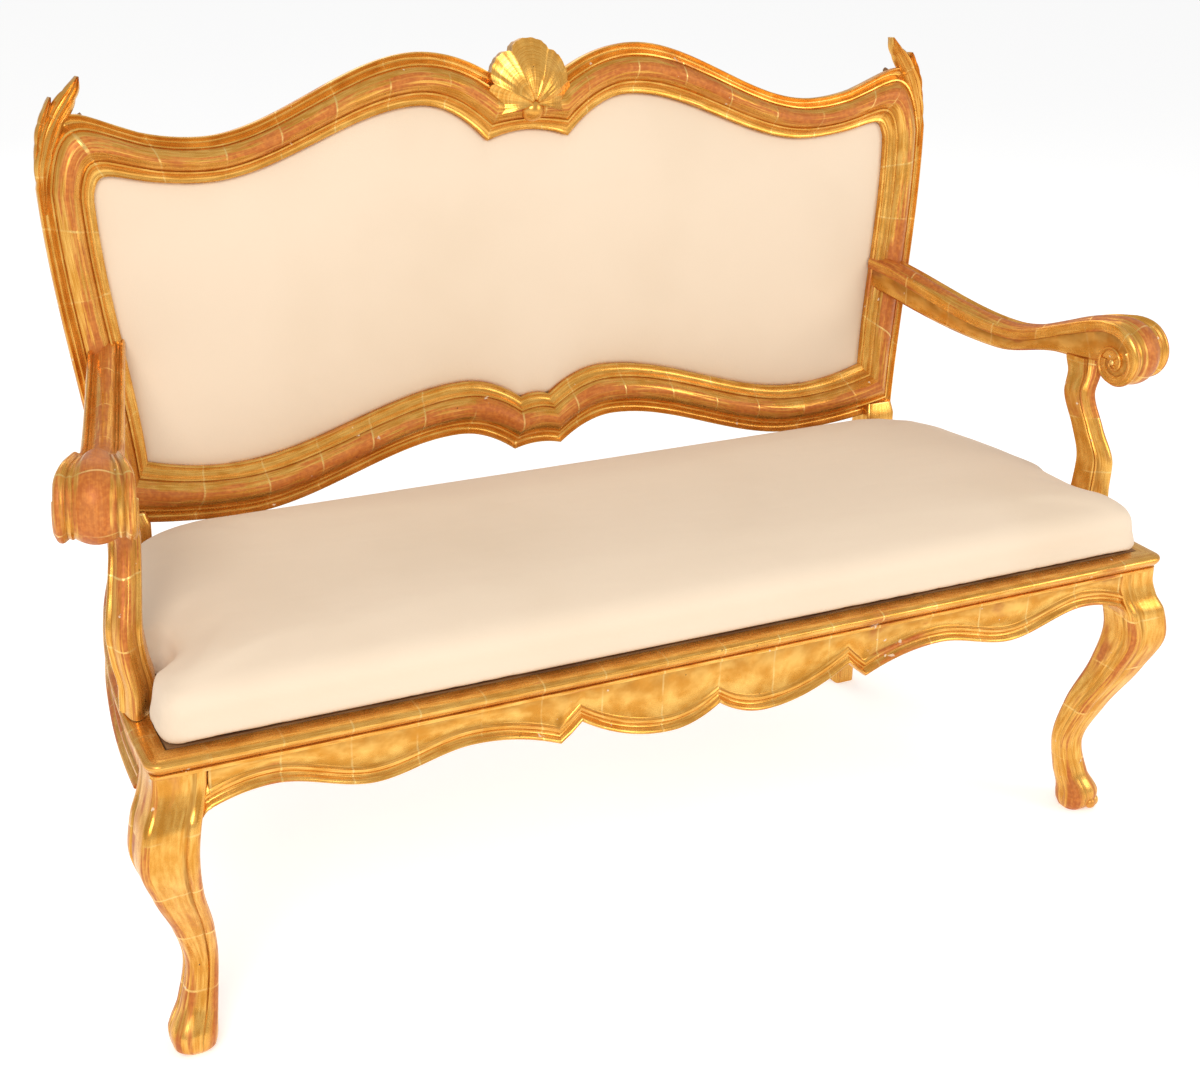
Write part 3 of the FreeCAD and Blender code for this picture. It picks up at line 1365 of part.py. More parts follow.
faults = []
for item in doc.Objects:
    if "Invalid" in item.State or "Error" in item.State:
        faults.append(item.Name)
for piece in pieces:
    if piece.Shape.isNull() or not piece.Shape.isValid():
        faults.append(piece.Label)
if faults:
    raise RuntimeError("failed pieces: " + ", ".join(faults))

os.makedirs("parts", exist_ok=True)
for piece in pieces:
    piece.Shape.exportStep(f"parts/{piece.Label}.step")
    box_now = piece.Shape.optimalBoundingBox(False)
    print(f"{piece.Label:26s} solids {len(piece.Shape.Solids):3d} volume {piece.Shape.Volume / 1000:9.1f} cm3"
          f"  x {box_now.XMin:7.1f} {box_now.XMax:7.1f}  y {box_now.YMin:7.1f} {box_now.YMax:7.1f}"
          f"  z {box_now.ZMin:7.1f} {box_now.ZMax:7.1f}")
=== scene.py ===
import math
import random

import bmesh
import bpy
from mathutils import Matrix, Vector


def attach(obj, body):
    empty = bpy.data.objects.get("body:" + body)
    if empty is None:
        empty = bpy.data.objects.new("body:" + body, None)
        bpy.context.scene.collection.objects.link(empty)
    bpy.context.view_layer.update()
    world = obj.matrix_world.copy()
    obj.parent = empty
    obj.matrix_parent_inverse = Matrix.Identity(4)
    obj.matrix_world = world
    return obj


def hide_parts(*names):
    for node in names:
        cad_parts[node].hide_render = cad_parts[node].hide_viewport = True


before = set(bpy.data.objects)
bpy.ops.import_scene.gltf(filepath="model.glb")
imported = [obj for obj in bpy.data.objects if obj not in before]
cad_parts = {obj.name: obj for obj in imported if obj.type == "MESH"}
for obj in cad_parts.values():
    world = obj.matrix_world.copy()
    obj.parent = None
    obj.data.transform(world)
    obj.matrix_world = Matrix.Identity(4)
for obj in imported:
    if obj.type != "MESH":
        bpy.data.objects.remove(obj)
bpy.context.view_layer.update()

bl_info = {
    "name": "Giltwood settee",
    "version": (1, 0, 0),
    "blender": (4, 5, 0),
    "location": "View3D > Sidebar > Settee",
    "description": "Builds the looks of a giltwood settee on cabriole legs",
    "category": "Object",
}

# Lengths are in millimetres, heights from the floor, and the front of the seat rail is y = 0.
# at() turns such a place into metres in the frame's axes.

MM = 0.001
FRONT_Y = 296.53  # the seat rail's front, ahead of the frame's origin
RAIL_TOP = 410.0
REST_Z = 390.0  # the ledge that the loose seat rests on
FRONT_HALF = 702.0  # half the seat's width in front
BLOCK_HALF = 30.0  # half the width of the block above a front leg
BLOCK_IN = FRONT_HALF - 2 * BLOCK_HALF
SIDES = (("right", 1), ("left", -1))


def at(x, y, z):
    return Vector((x, y - FRONT_Y, z)) * MM


def blend(start, end, start_rise, end_rise, t):
    """Cubic between two values with given end rises, at a share t of the way."""
    return (start * (2 * t**3 - 3 * t**2 + 1) + start_rise * (t**3 - 2 * t**2 + t)
            + end * (3 * t**2 - 2 * t**3) + end_rise * (t**3 - t**2))


def cubic(start, end, start_slope, end_slope, count):
    """Points of a cubic from start to end, the first left out."""
    run = end[0] - start[0]
    points = []
    for step in range(1, count + 1):
        t = step / count
        points.append((start[0] + run * t, blend(start[1], end[1], start_slope * run, end_slope * run, t)))
    return points


def read_line(points, key):
    """Value at a key of a line whose points are (key, value), keys rising, held at its ends."""
    for (low, first), (high, last) in zip(points, points[1:]):
        if low <= key <= high:
            return first + (last - first) * (key - low) / (high - low)
    return points[-1][1] if key > points[0][0] else points[0][1]


def parabola_slope(low, high):
    """Slope at low of a parabola whose level point is high."""
    return 2 * (high[1] - low[1]) / (high[0] - low[0])


def track(stations, key):
    """Values at a key between rows that start with their keys, without overshoot."""
    index = 0
    while index < len(stations) - 2 and key > stations[index + 1][0]:
        index += 1
    start, end = stations[index], stations[index + 1]
    run = end[0] - start[0]
    t = min(max((key - start[0]) / run, 0.0), 1.0)

    def slope(place, column):
        if place == 0 or place == len(stations) - 1:
            return 0.0
        before, here, after = stations[place - 1:place + 2]
        rise_in = (here[column] - before[column]) / (here[0] - before[0])
        rise_out = (after[column] - here[column]) / (after[0] - here[0])
        return 2 * rise_in * rise_out / (rise_in + rise_out) if rise_in * rise_out > 0 else 0.0

    return [blend(start[column], end[column], slope(index, column) * run, slope(index + 1, column) * run, t)
            for column in range(1, len(start))]


def bow(start, middle, end, count):
    """Points of a shallow curve that passes a middle point, the start left out."""
    points = []
    for step in range(1, count + 1):
        t = step / count
        points.append(tuple(a * (1 - t)**2 + 2 * t * (1 - t) * (2 * m - (a + b) / 2) + b * t * t
                            for a, m, b in zip(start, middle, end)))
    return points


def trace(start, steps):
    """A section's points: across, height, wear and hollow.

    A step is (end, wear, hollow), or (end, wear, hollow, middle, count) for a curve,
    whose wear and hollow are those at its middle.
    """
    points = [(*start, 0.15, 0.2)]
    for end, wear, hollow, *curve in steps:
        if not curve:
            points.append((*end, wear, hollow))
            continue
        middle, count = curve
        # the feet of a raised curve lie in a crease and take painted shade
        edge_hollow = 0.0 if hollow > 0.2 else 0.55
        for index, spot in enumerate(bow(points[-1][:2], middle, end, count), start=1):
            swell = math.sin(math.pi * index / count)
            points.append((*spot, 0.15 + (wear - 0.15) * swell, edge_hollow + (hollow - edge_hollow) * swell))
    return points


# meshes

class Skin:
    """A mesh of swept sections. Each corner keeps its wear, its run and how hollow it lies."""

    def __init__(self):
        self.mesh = bmesh.new()
        self.finish = self.mesh.verts.layers.float_vector.new("finish")
        self.across = self.mesh.verts.layers.float.new("across")

    def sweep(self, rings, marks):
        """Draws the first closed section and extrudes its edges through the others."""
        verts = [self.mesh.verts.new(spot) for spot in rings[0]]
        count = len(verts)
        edges = [self.mesh.edges.new((verts[i], verts[(i + 1) % count])) for i in range(count)]
        bmesh.ops.contextual_create(self.mesh, geom=verts + edges)
        self.mark(verts, marks[0])
        for ring, mark in zip(rings[1:], marks[1:]):
            made = bmesh.ops.extrude_edge_only(self.mesh, edges=edges)["geom"]
            fresh = {item for item in made if isinstance(item, bmesh.types.BMVert)}
            edges = [item for item in made if isinstance(item, bmesh.types.BMEdge)
                     and item.verts[0] in fresh and item.verts[1] in fresh]
            after = []
            for vert in verts:
                after.append(next(edge.other_vert(vert) for edge in vert.link_edges
                                  if edge.other_vert(vert) in fresh))
            verts = after
            for vert, spot in zip(verts, ring):
                vert.co = spot
            self.mark(verts, mark)
        bmesh.ops.contextual_create(self.mesh, geom=verts + edges)

    def mark(self, verts, mark):
        for index, (vert, values) in enumerate(zip(verts, mark)):
            vert[self.finish] = values
            vert[self.across] = index / len(mark)

    def ball(self, middle, radius, wear):
        made = bmesh.ops.create_uvsphere(self.mesh, u_segments=20, v_segments=12, radius=radius * MM)
        for vert in made["verts"]:
            vert.co += middle
            vert[self.finish] = (wear, 0.0, 0.1)

    def for_side(self, hand):
        """Mirrors what was made for the right, if the hand is the left one."""
        for vert in self.mesh.verts:
            vert.co.x *= hand
        return self

    def into(self, name, material, nodes, crease=38.0):
        """The finished piece, which rides the frame and stands for some of its nodes."""
        bmesh.ops.remove_doubles(self.mesh, verts=self.mesh.verts, dist=1e-6)
        bmesh.ops.recalc_face_normals(self.mesh, faces=self.mesh.faces)
        settle(new_piece(name, into_mesh(self.mesh, name)), material, "frame", nodes, crease)


def into_mesh(work, name):
    """A bmesh's contents as a new mesh."""
    mesh = bpy.data.meshes.new(name)
    work.to_mesh(mesh)
    work.free()
    return mesh


def new_piece(name, data):
    piece = bpy.data.objects.new(name, data)
    bpy.context.scene.collection.objects.link(piece)
    return piece


def settle(piece, material, body, nodes, crease=None):
    """Gives a piece its material, its body and the nodes it replaces."""
    mesh = piece.data
    mesh.shade_smooth()
    if crease is not None:
        mesh.set_sharp_from_angle(angle=math.radians(crease))
    mesh.materials.clear()
    mesh.materials.append(material)
    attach(piece, body)
    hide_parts(*nodes)


def run_lengths(spots):
    """Distance along a line of places, in metres."""
    lengths = [0.0]
    for before, after in zip(spots, spots[1:]):
        lengths.append(lengths[-1] + (Vector(after) - Vector(before)).length)
    return lengths


def mark_for(section, run):
    """What the corners of one ring keep, from a section's wear and hollow."""
    return [(wear, run, hollow) for _, _, wear, hollow in section]


def marks_for(section, spots):
    """The marks of rings that lie along a line of places."""
    return [mark_for(section, run) for run in run_lengths(spots)]


# shader graphs

class Value:
    """A shader value that takes plain arithmetic."""

    def __init__(self, graph, socket):
        self.graph = graph
        self.socket = socket

    def maths(self, operation, first, second):
        return self.graph.node("ShaderNodeMath", {"operation": operation}, {0: first, 1: second})

    def __add__(self, other):
        return self.maths("ADD", self, other)

    def __sub__(self, other):
        return self.maths("SUBTRACT", self, other)

    def __mul__(self, other):
        return self.maths("MULTIPLY", self, other)

    def __rsub__(self, other):
        return self.maths("SUBTRACT", other, self)

    __radd__ = __add__

    def part(self, operation, other=0.0):
        """Any other operation on this value."""
        return self.maths(operation, self, other)

    def between(self, low, high):
        """0 below low and 1 above high, with a smooth step."""
        return self.graph.node("ShaderNodeMapRange", {"interpolation_type": "SMOOTHSTEP"},
                               {"Value": self, "From Min": low, "From Max": high})


class Graph:
    """The node tree of one material."""

    def __init__(self, name, slot):
        self.material = bpy.data.materials.new(name)
        self.material.use_nodes = True
        self.material["slot"] = slot
        self.tree = self.material.node_tree
        self.tree.nodes.clear()
        self.place = self.node("ShaderNodeTexCoord", output="Object")

    def node(self, kind, settings=None, values=None, output=0):
        """Adds a node: its settings first, then its values and links."""
        made = self.tree.nodes.new(kind)
        for key, setting in (settings or {}).items():
            setattr(made, key, setting)
        for key, value in (values or {}).items():
            if isinstance(value, Value):
                self.tree.links.new(value.socket, made.inputs[key])
            else:
                made.inputs[key].default_value = value
        return Value(self, made.outputs[output])

    def mix(self, share, first, second):
        return self.node("ShaderNodeMix", {"data_type": "RGBA"}, {0: share, 6: first, 7: second}, 2)

    def noise(self, scale, detail=4.0, stretch=(1, 1, 1), place=None):
        place = place or self.place
        if stretch != (1, 1, 1):
            place = self.node("ShaderNodeMapping", None, {"Vector": place, "Scale": stretch})
        return self.node("ShaderNodeTexNoise", None, {"Vector": place, "Scale": scale, "Detail": detail})

    def dots(self, scale, small, large, share):
        """Round dots in those of a scatter of cells whose chance is above a share."""
        cells = self.node("ShaderNodeTexVoronoi", None, {"Vector": self.place, "Scale": scale})
        middles = Value(self, cells.socket.node.outputs["Position"])
        chance = self.node("ShaderNodeTexWhiteNoise", {"noise_dimensions": "3D"}, {"Vector": middles}, "Value")
        return (1 - cells.between(small, large)) * chance.between(share, share + 0.01)

    def bump(self, height, distance, strength):
        return self.node("ShaderNodeBump", None, {"Height": height, "Distance": distance, "Strength": strength})

    def finish(self, values):
        shader = self.node("ShaderNodeBsdfPrincipled", None, values)
        out = self.tree.nodes.new("ShaderNodeOutputMaterial")
        self.tree.links.new(shader.socket, out.inputs["Surface"])
        return self.material


DULL_GOLD = (0.42, 0.17, 0.025, 1)
LAPPED_GOLD = (0.95, 0.68, 0.26, 1)
RUBBED_CLAY = (0.56, 0.15, 0.022, 1)
# painted shade with grime: the dark brown that the gilding takes in its hollows, creases, undersides and backs
SHADE_AND_GRIME = (0.10, 0.035, 0.008, 1)
WORMHOLE = (0.03, 0.012, 0.005, 1)
GESSO = (0.78, 0.62, 0.45, 1)


def giltwood(name, looks, wear_shift=0.0):
    """Water gilding worn through to red bole, with leaf laps, chips and wormholes."""
    graph = Graph(name, "giltwood")
    finish = graph.node("ShaderNodeAttribute", {"attribute_name": "finish"}, output="Vector")
    split = graph.node("ShaderNodeSeparateXYZ", None, {0: finish})
    wear, run, hollow = (Value(graph, socket) for socket in split.socket.node.outputs)
    across = graph.node("ShaderNodeAttribute", {"attribute_name": "across"}, output="Fac")
    broad = graph.noise(6.0, 3.0)
    cloudy = graph.noise(34.0, 5.0)
    fine = graph.noise(190.0, 4.0)
    strokes = graph.node("ShaderNodeCombineXYZ", None, {0: run * 13.0, 1: across * 30.0, 2: broad * 2.0})
    rubbed = graph.noise(1.0, 6.0, place=strokes)
    brushed = graph.noise(2.6, 4.0, place=strokes)
    leaves = run * (1 / looks.leaf_size) + (broad - 0.5) * 0.22
    edge = (leaves.part("FRACT") - 0.5).part("ABSOLUTE")
    lap = edge.between(0.478, 0.496) * cloudy.between(0.35, 0.6)
    leaf_tone = graph.node("ShaderNodeTexWhiteNoise", {"noise_dimensions": "1D"},
                           {"W": leaves.part("FLOOR")}, "Value")
    bole = (wear * 0.66 + (cloudy - 0.5) * 0.45 + (broad - 0.5) * 1.2 + (rubbed - 0.5) * 1.5
            + (leaf_tone - 0.5) * 0.22 + (looks.wear - 0.5 + wear_shift) - lap * 0.35)
    bare = bole.between(0.36, 0.66)
    burnished = (brushed * 0.65 + cloudy * 0.35).between(0.36, 0.68)
    gold = graph.mix(burnished, (*looks.gold_deep, 1), (*looks.gold_light, 1))
    gold = graph.mix(broad.between(0.5, 0.8) * 0.3, gold, DULL_GOLD)
    clay = graph.mix(fine.between(0.35, 0.7), (*looks.bole, 1), RUBBED_CLAY)
    colour = graph.mix(bare * 0.80, gold, clay)
    colour = graph.mix(lap * 0.55, colour, LAPPED_GOLD)
    # painted shade with grime: hollows, creases, undersides and the backs of mouldings darken in cloudy patches,
    # where shade falls
    shade_and_grime = hollow.between(0.25, 0.9) * cloudy.between(0.2, 0.65)
    colour = graph.mix(shade_and_grime * 0.42, colour, SHADE_AND_GRIME)
    worm = graph.dots(55.0, 0.035, 0.06, 0.86)
    colour = graph.mix(worm * 0.9, colour, WORMHOLE)
    chips = (graph.noise(75.0, 5.0) + (broad - 0.5) * 0.35).between(0.735, 0.755)
    colour = graph.mix(chips * 0.8, colour, GESSO)
    loss = (chips + worm).part("MINIMUM", 1.0)
    height = cloudy * 0.5 + fine * 0.18 + rubbed * 0.4 - worm * 1.5 - chips * 0.8 + lap * 0.12
    return graph.finish({
        "Base Color": colour,
        "Metallic": (1 - bare * 0.75) * (1 - loss) * 0.82,
        "Roughness": 0.27 + bare * 0.2 + (fine - 0.5) * 0.16 + shade_and_grime * 0.25 + loss * 0.4,
        "Specular IOR Level": 0.32,
        "Normal": graph.bump(height, 0.0007, 0.55),
    })


def calico(name, looks):
    """Plain undyed cotton, faintly stained."""
    graph = Graph(name, "calico")
    broad = graph.noise(3.2, 3.0)
    stain = graph.noise(1.7, 4.0)
    fine = graph.noise(900.0, 2.0)
    slub = graph.noise(240.0, 3.0, (1.0, 9.0, 1.0))
    cloth = graph.mix(broad.between(0.35, 0.7) * 0.5, (*looks.cloth, 1), (*looks.cloth_shade, 1))
    cloth = graph.mix(stain.between(0.56, 0.72) * 0.14, cloth, (0.66, 0.50, 0.32, 1))
    cloth = graph.mix((slub - 0.5).between(0.05, 0.3) * 0.12, cloth, (0.75, 0.62, 0.48, 1))
    cloth = graph.mix(graph.dots(13.0, 0.012, 0.03, 0.9) * 0.5, cloth, (0.35, 0.22, 0.12, 1))
    pulls = graph.noise(9.0, 2.0, (1.0, 2.5, 1.0))
    return graph.finish({"Base Color": cloth, "Roughness": 0.93, "Sheen Weight": 0.15, "Specular IOR Level": 0.2,
                         "Normal": graph.bump(fine * 0.35 + slub * 0.5 + pulls * 6.0, 0.0006, 0.5)})


def raw_timber(name):
    """Old softwood, stained brown, for the parts out of sight."""
    graph = Graph(name, "timber")
    grain = graph.noise(16.0, 6.0, (1.0, 11.0, 11.0))
    pores = graph.noise(120.0, 3.0, (1.0, 8.0, 8.0))
    colour = graph.mix(grain.between(0.3, 0.7), (0.30, 0.155, 0.06, 1), (0.16, 0.07, 0.025, 1))
    colour = graph.mix(pores.between(0.55, 0.75) * 0.5, colour, (0.09, 0.04, 0.015, 1))
    return graph.finish({"Base Color": colour, "Roughness": 0.72 + grain * 0.1,
                         "Normal": graph.bump(grain + pores * 0.5, 0.0006, 0.6)})


def plain_weave(name, slot, first, second, scale):
    """Woven strap or cloth with crossing threads."""
    graph = Graph(name, slot)
    warp, weft = (graph.node("ShaderNodeTexWave", {"bands_direction": axis},
                             {"Vector": graph.place, "Scale": scale, "Distortion": 0.6, "Detail": 1.0}, 1)
                  for axis in "XZ")
    blotch = graph.noise(14.0, 4.0)
    threads = warp * 0.5 + weft * 0.5
    colour = graph.mix(threads.between(0.2, 0.8) * 0.6 + blotch * 0.3, (*first, 1), (*second, 1))
    return graph.finish({"Base Color": colour, "Roughness": 0.9, "Normal": graph.bump(threads, 0.0005, 0.6)})


def dull_steel(name):
    graph = Graph(name, "steel")
    spread = graph.noise(60.0, 5.0)
    rust = spread.between(0.45, 0.65)
    return graph.finish({"Base Color": graph.mix(rust, (0.36, 0.35, 0.33, 1), (0.20, 0.09, 0.04, 1)),
                         "Metallic": 1 - rust * 0.7, "Roughness": 0.38 + spread * 0.3})


def material(name):
    """The material of that name, made when first asked for."""
    if name in bpy.data.materials:
        return bpy.data.materials[name]
    looks = bpy.context.scene.settee
    makers = {
        "Gilding": lambda: giltwood(name, looks),
        "Gilding, rubbed": lambda: giltwood(name, looks, 0.14),
        "Gilding, bright": lambda: giltwood(name, looks, -0.16),
        "Calico": lambda: calico(name, looks),
        "Old timber": lambda: raw_timber(name),
        "Jute webbing": lambda: plain_weave(name, "webbing", (0.42, 0.30, 0.17), (0.24, 0.16, 0.08), 260.0),
        "Lining cloth": lambda: plain_weave(name, "lining_cloth", (0.62, 0.52, 0.38), (0.50, 0.40, 0.28), 420.0),
        "Dull steel": lambda: dull_steel(name),
    }
    return makers[name]()


# the raked back

RAKE = 0.13  # how far the back leans for its height
LEAN = Vector((0, -1, RAKE)).normalized()

# the back's moulding: share of the way from its inner to its outer line, and height off the back
BACK_SECTION = trace((0.0, -4.0), (
    ((0.0, 3.0), 0.2, 0.2),
    ((0.030, 4.6), 0.3, 0.0),
    ((0.200, 10.6), 0.02, 0.30, (0.125, 4.6), 9),
    ((0.212, 12.2), 0.2, 0.0),
    ((0.246, 12.4), 0.2, 0.0),
    ((0.258, 10.6), 0.2, 0.7),
    ((0.742, 10.6), 1.0, 0.0, (0.50, 22.5), 18),
    ((0.754, 12.4), 0.2, 0.0),
    ((0.785, 12.2), 0.2, 0.0),
    ((0.968, 8.0), 0.02, 0.30, (0.870, 2.6), 10),
    ((0.992, 7.4), 0.6, 0.0),
    ((1.0, 4.0), 0.5, 0.1),
    ((0.985, -4.0), 0.4, 0.2),
    ((0.90, -20.0), 0.3, 0.3),
    ((0.86, -22.0), 0.3, 0.4),
    ((0.17, -22.0), 0.3, 0.6),
    ((0.16, -4.0), 0.2, 0.8),
))


def back_y(z):
    """The raked plane of the back."""
    return 518 + RAKE * (z - 450)


def on_back(x, z, height):
    return at(x, back_y(z), z) + LEAN * (height * MM)


def wave_line(cusp, hump, dip, end):
    """Line from a cusp over a hump and a dip to an end."""
    return ([cusp] + cubic(cusp, hump, parabola_slope(cusp, hump), 0, 12)
            + cubic(hump, dip, 0, 0, 26) + cubic(dip, end, 0, parabola_slope(end, dip), 14))


def turned_line(top, shoulder, bottom, share):
    """Line of a stile, level across at its shoulder, top to bottom."""
    fall = share * (bottom[0] - shoulder[0]) / (bottom[1] - shoulder[1])
    top, shoulder, bottom = [(z, x) for x, z in (top, shoulder, bottom)]
    line = [top] + cubic(top, shoulder, parabola_slope(top, shoulder), 0, 8)
    line += cubic(shoulder, bottom, 0.5 * fall, fall, 30)
    return [(x, z) for z, x in line]


PANEL_TOP = (589, 908)
PANEL_BOTTOM = (556, 537)
EAR = (638, 1000)
POST_CORNER = (612, 466)

CREST_IN = wave_line((61, 915), (158, 967), (455, 887), PANEL_TOP)
CREST_OUT = wave_line((46, 1000), (162, 1037), (460, 945), EAR)
LOWER_IN = wave_line((22, 556), (108, 588), (440, 519), PANEL_BOTTOM)
LOWER_OUT = wave_line((36, 484), (122, 516), (432, 449), POST_CORNER)
STILE_IN = turned_line(PANEL_TOP, (597, 874), PANEL_BOTTOM, 0.6)
STILE_OUT = turned_line(EAR, (667, 894), POST_CORNER, 0.8)


def ease_corner(first, second, reach, passes):
    """Rounds the corner where one line runs on into the next, in both of them."""
    meet = len(first) - 1
    line = first + second[1:]
    for _ in range(passes):
        for index in range(meet - reach, meet + reach + 1):
            before, here, after = line[index - 1:index + 2]
            line[index] = tuple((a + 2 * b + c) / 4 for a, b, c in zip(before, here, after))
    first[:] = line[:meet + 1]
    second[:] = line[meet:]


ease_corner(CREST_IN, STILE_IN, 5, 6)
ease_corner(CREST_OUT, STILE_OUT, 7, 10)


def whole_line(half, middle_z):
    """A half line and its mirror image, joined by a shallow scallop."""
    cusp = half[0]
    line = [(-x, z) for x, z in reversed(half)]
    for step in range(1, 12):
        x = cusp[0] * (step / 6 - 1)
        line.append((x, middle_z + (cusp[1] - middle_z) * (x / cusp[0])**2))
    return line + half


PANEL_TOP_LINE = whole_line(CREST_IN, 927)
PANEL_LOW_LINE = whole_line(LOWER_IN, 560)


def back_sweep(skin, inner, outer):
    """Sweeps the back's moulding between two matched lines."""
    rings = [[on_back(a[0] + across * (b[0] - a[0]), a[1] + across * (b[1] - a[1]), height)
              for across, height, _, _ in BACK_SECTION] for a, b in zip(inner, outer)]
    skin.sweep(rings, marks_for(BACK_SECTION, [ring[6] for ring in rings]))


def plan_ring(middle, wide, deep, corner):
    """Level rectangle with round corners, as places in metres."""
    ring = []
    for index, (sx, sy) in enumerate(((1, -1), (1, 1), (-1, 1), (-1, -1))):
        for step in range(5):
            angle = math.radians(90 * (index - 1 + step / 4))
            ring.append(at(middle[0] + sx * (wide / 2 - corner) + corner * math.cos(angle),
                           middle[1] + sy * (deep / 2 - corner) + corner * math.sin(angle), middle[2]))
    return ring


def even_sweep(skin, rings, wear):
    """Sweeps rings that are worn alike all round."""
    runs = run_lengths([ring[0] for ring in rings])
    skin.sweep(rings, [[(wear, run, 0.15)] * len(ring) for ring, run in zip(rings, runs)])


def post_rings():
    """Right back post from the floor up behind the lower rail."""
    middle = 521.0
    stations = (
        # height, x, y, width, depth
        (0.0, 562, middle - 8, 34, 34),
        (80.0, 566, middle - 1, 34, 34),
        (200.0, 575, middle + 1, 41, 40),
        (336.0, 586, middle, 50, 46),
        (458.0, 586, middle, 50, 46),
        (476.0, 588, middle + 4, 44, 36),
    )
    rings = []
    for step in range(32):
        z = stations[-1][0] * step / 31
        x, y, wide, deep = track(stations, z)
        rings.append(plan_ring((x, y, z), wide, deep, 6.0))
    return rings


def build_back_frame():
    gilding = material("Gilding")
    crest = Skin()
    back_sweep(crest, PANEL_TOP_LINE, whole_line(CREST_OUT, 986))
    crest.into("crest_rail_moulded", gilding, ["crest_rail"])
    lower = Skin()
    back_sweep(lower, PANEL_LOW_LINE, whole_line(LOWER_OUT, 489))
    lower.into("lower_back_rail_moulded", gilding, ["lower_back_rail"])
    for side, hand in SIDES:
        post = Skin()
        back_sweep(post, STILE_IN, STILE_OUT)
        even_sweep(post, post_rings(), 0.35)
        even_sweep(post, [plan_ring((590, back_y(z) + 14, z), 34, 13, 2.0) for z in (450, 500, 548)], 0.3)
        post.for_side(hand).into(f"back_post_and_stile_{side}", gilding, [f"back_post_{side}"])


# carving

def shell_height(share, phase):
    """Front of the shell: domed, fluted along each lobe, rim turned forward."""
    dome = 24 + 11 * math.sin(math.pi * min(1.0, 0.25 + 0.62 * share))
    flute = 6.5 * math.sin(math.pi * phase) * share**0.7 + 1.1 * abs(math.sin(4 * math.pi * phase)) * share
    lip = 6.0 * share**6
    return dome - 16 * share**2.2 - flute + lip


def build_shell():
    """Fan of ragged, fluted lobes that spring from a boss."""
    skin = Skin()
    dice = random.Random(4)
    lobes = bpy.context.scene.settee.shell_lobes
    per_lobe = 16
    root_z = 962.0
    reach = [dice.uniform(0.94, 1.05) for _ in range(lobes)]
    start, end = math.radians(-14), math.radians(194)
    rings, marks = [], []
    total = lobes * per_lobe
    for step in range(total + 1):
        lobe = min(step // per_lobe, lobes - 1)
        phase = step / per_lobe - lobe
        angle = start + (end - start) * step / total
        tall = 90.0 if 0 < math.sin(angle) else 66.0
        radius = (64.0 + (tall - 64.0) * max(0.0, math.sin(angle))**1.5) * reach[lobe]
        radius *= 0.90 + 0.10 * math.sin(math.pi * phase)**0.4
        radius *= 1 - 0.012 * abs(math.sin(5 * math.pi * phase)) - dice.uniform(0.0, 0.012)
        rib = 1 - math.sin(math.pi * phase)
        section = [(share, shell_height(share, phase), 0.15 + 0.35 * rib, 0.5 * (1 - rib) * (1 - share) + 0.15)
                   for share in (0.07 + 0.93 * part / 12 for part in range(13))]
        section += [(0.985, -1.0, 0.3, 0.4), (0.85, -6.0, 0.3, 0.4), (0.1, -6.0, 0.3, 0.4)]
        rings.append([on_back(radius * share * math.cos(angle), root_z + radius * share * math.sin(angle), height)
                      for share, height, _, _ in section])
        marks.append(mark_for(section, 0.0))
    skin.sweep(rings, marks)
    skin.ball(on_back(0, 955, 18), 17, 0.35)
    skin.into("shell_on_crest", material("Gilding, bright"), ["shell_carving"], 60)


# share of the way, x, z, half width, height off the back
LEAF_SPINE = ((0.0, 606, 1026, 1.5, 12), (0.10, 611, 1014, 7.0, 13), (0.25, 622, 998, 11.5, 15),
              (0.42, 638, 974, 13.0, 15), (0.62, 651, 941, 12.0, 13), (0.82, 658, 903, 8.0, 9),
              (1.0, 658, 862, 2.0, 5))
SECOND_LEAF = ((0.0, 641, 1003, 1.2, 11), (0.2, 646, 988, 5.0, 12), (0.5, 655, 962, 6.5, 11),
               (1.0, 664, 915, 2.0, 6))


def sweep_leaf(skin, spine):
    """Acanthus leaf along the right ear: a ribbed blade with lobed edges."""
    rings, marks = [], []
    count = 66
    for step in range(count + 1):
        t = step / count
        x, z, half, height = track(spine, t)
        ahead = track(spine, min(t + 0.02, 1.0))
        behind = track(spine, max(t - 0.02, 0.0))
        along = Vector((ahead[0] - behind[0], ahead[1] - behind[1])).normalized()
        lobe = abs(math.sin(math.pi * (4.5 * t + 0.15)))
        half *= 0.86 + 0.2 * lobe**0.6
        section = []
        for v in (-1 + part / 8 for part in range(17)):
            rib = 0.5 + 0.5 * math.cos(3 * math.pi * v)
            lift = height * (1 - 0.5 * v * v) * (0.68 + 0.32 * rib) + 1.5 * lobe * abs(v)
            section.append((v, lift, 0.1 + 0.45 * rib, 0.55 * (1 - rib)))
        section += [(0.9, -3.0, 0.3, 0.4), (0.0, -6.0, 0.3, 0.4), (-0.9, -3.0, 0.3, 0.4)]
        rings.append([on_back(x - along.y * v * half, z + along.x * v * half, lift) for v, lift, _, _ in section])
        marks.append(mark_for(section, t * 0.2))
    skin.sweep(rings, marks)


def build_carving():
    build_shell()
    for side, hand in SIDES:
        leaf = Skin()
        sweep_leaf(leaf, LEAF_SPINE)
        sweep_leaf(leaf, SECOND_LEAF)
        leaf.for_side(hand).into(f"acanthus_leaf_{side}", material("Gilding, bright"), [f"ear_leaf_{side}"], 55)


# arms and their supports

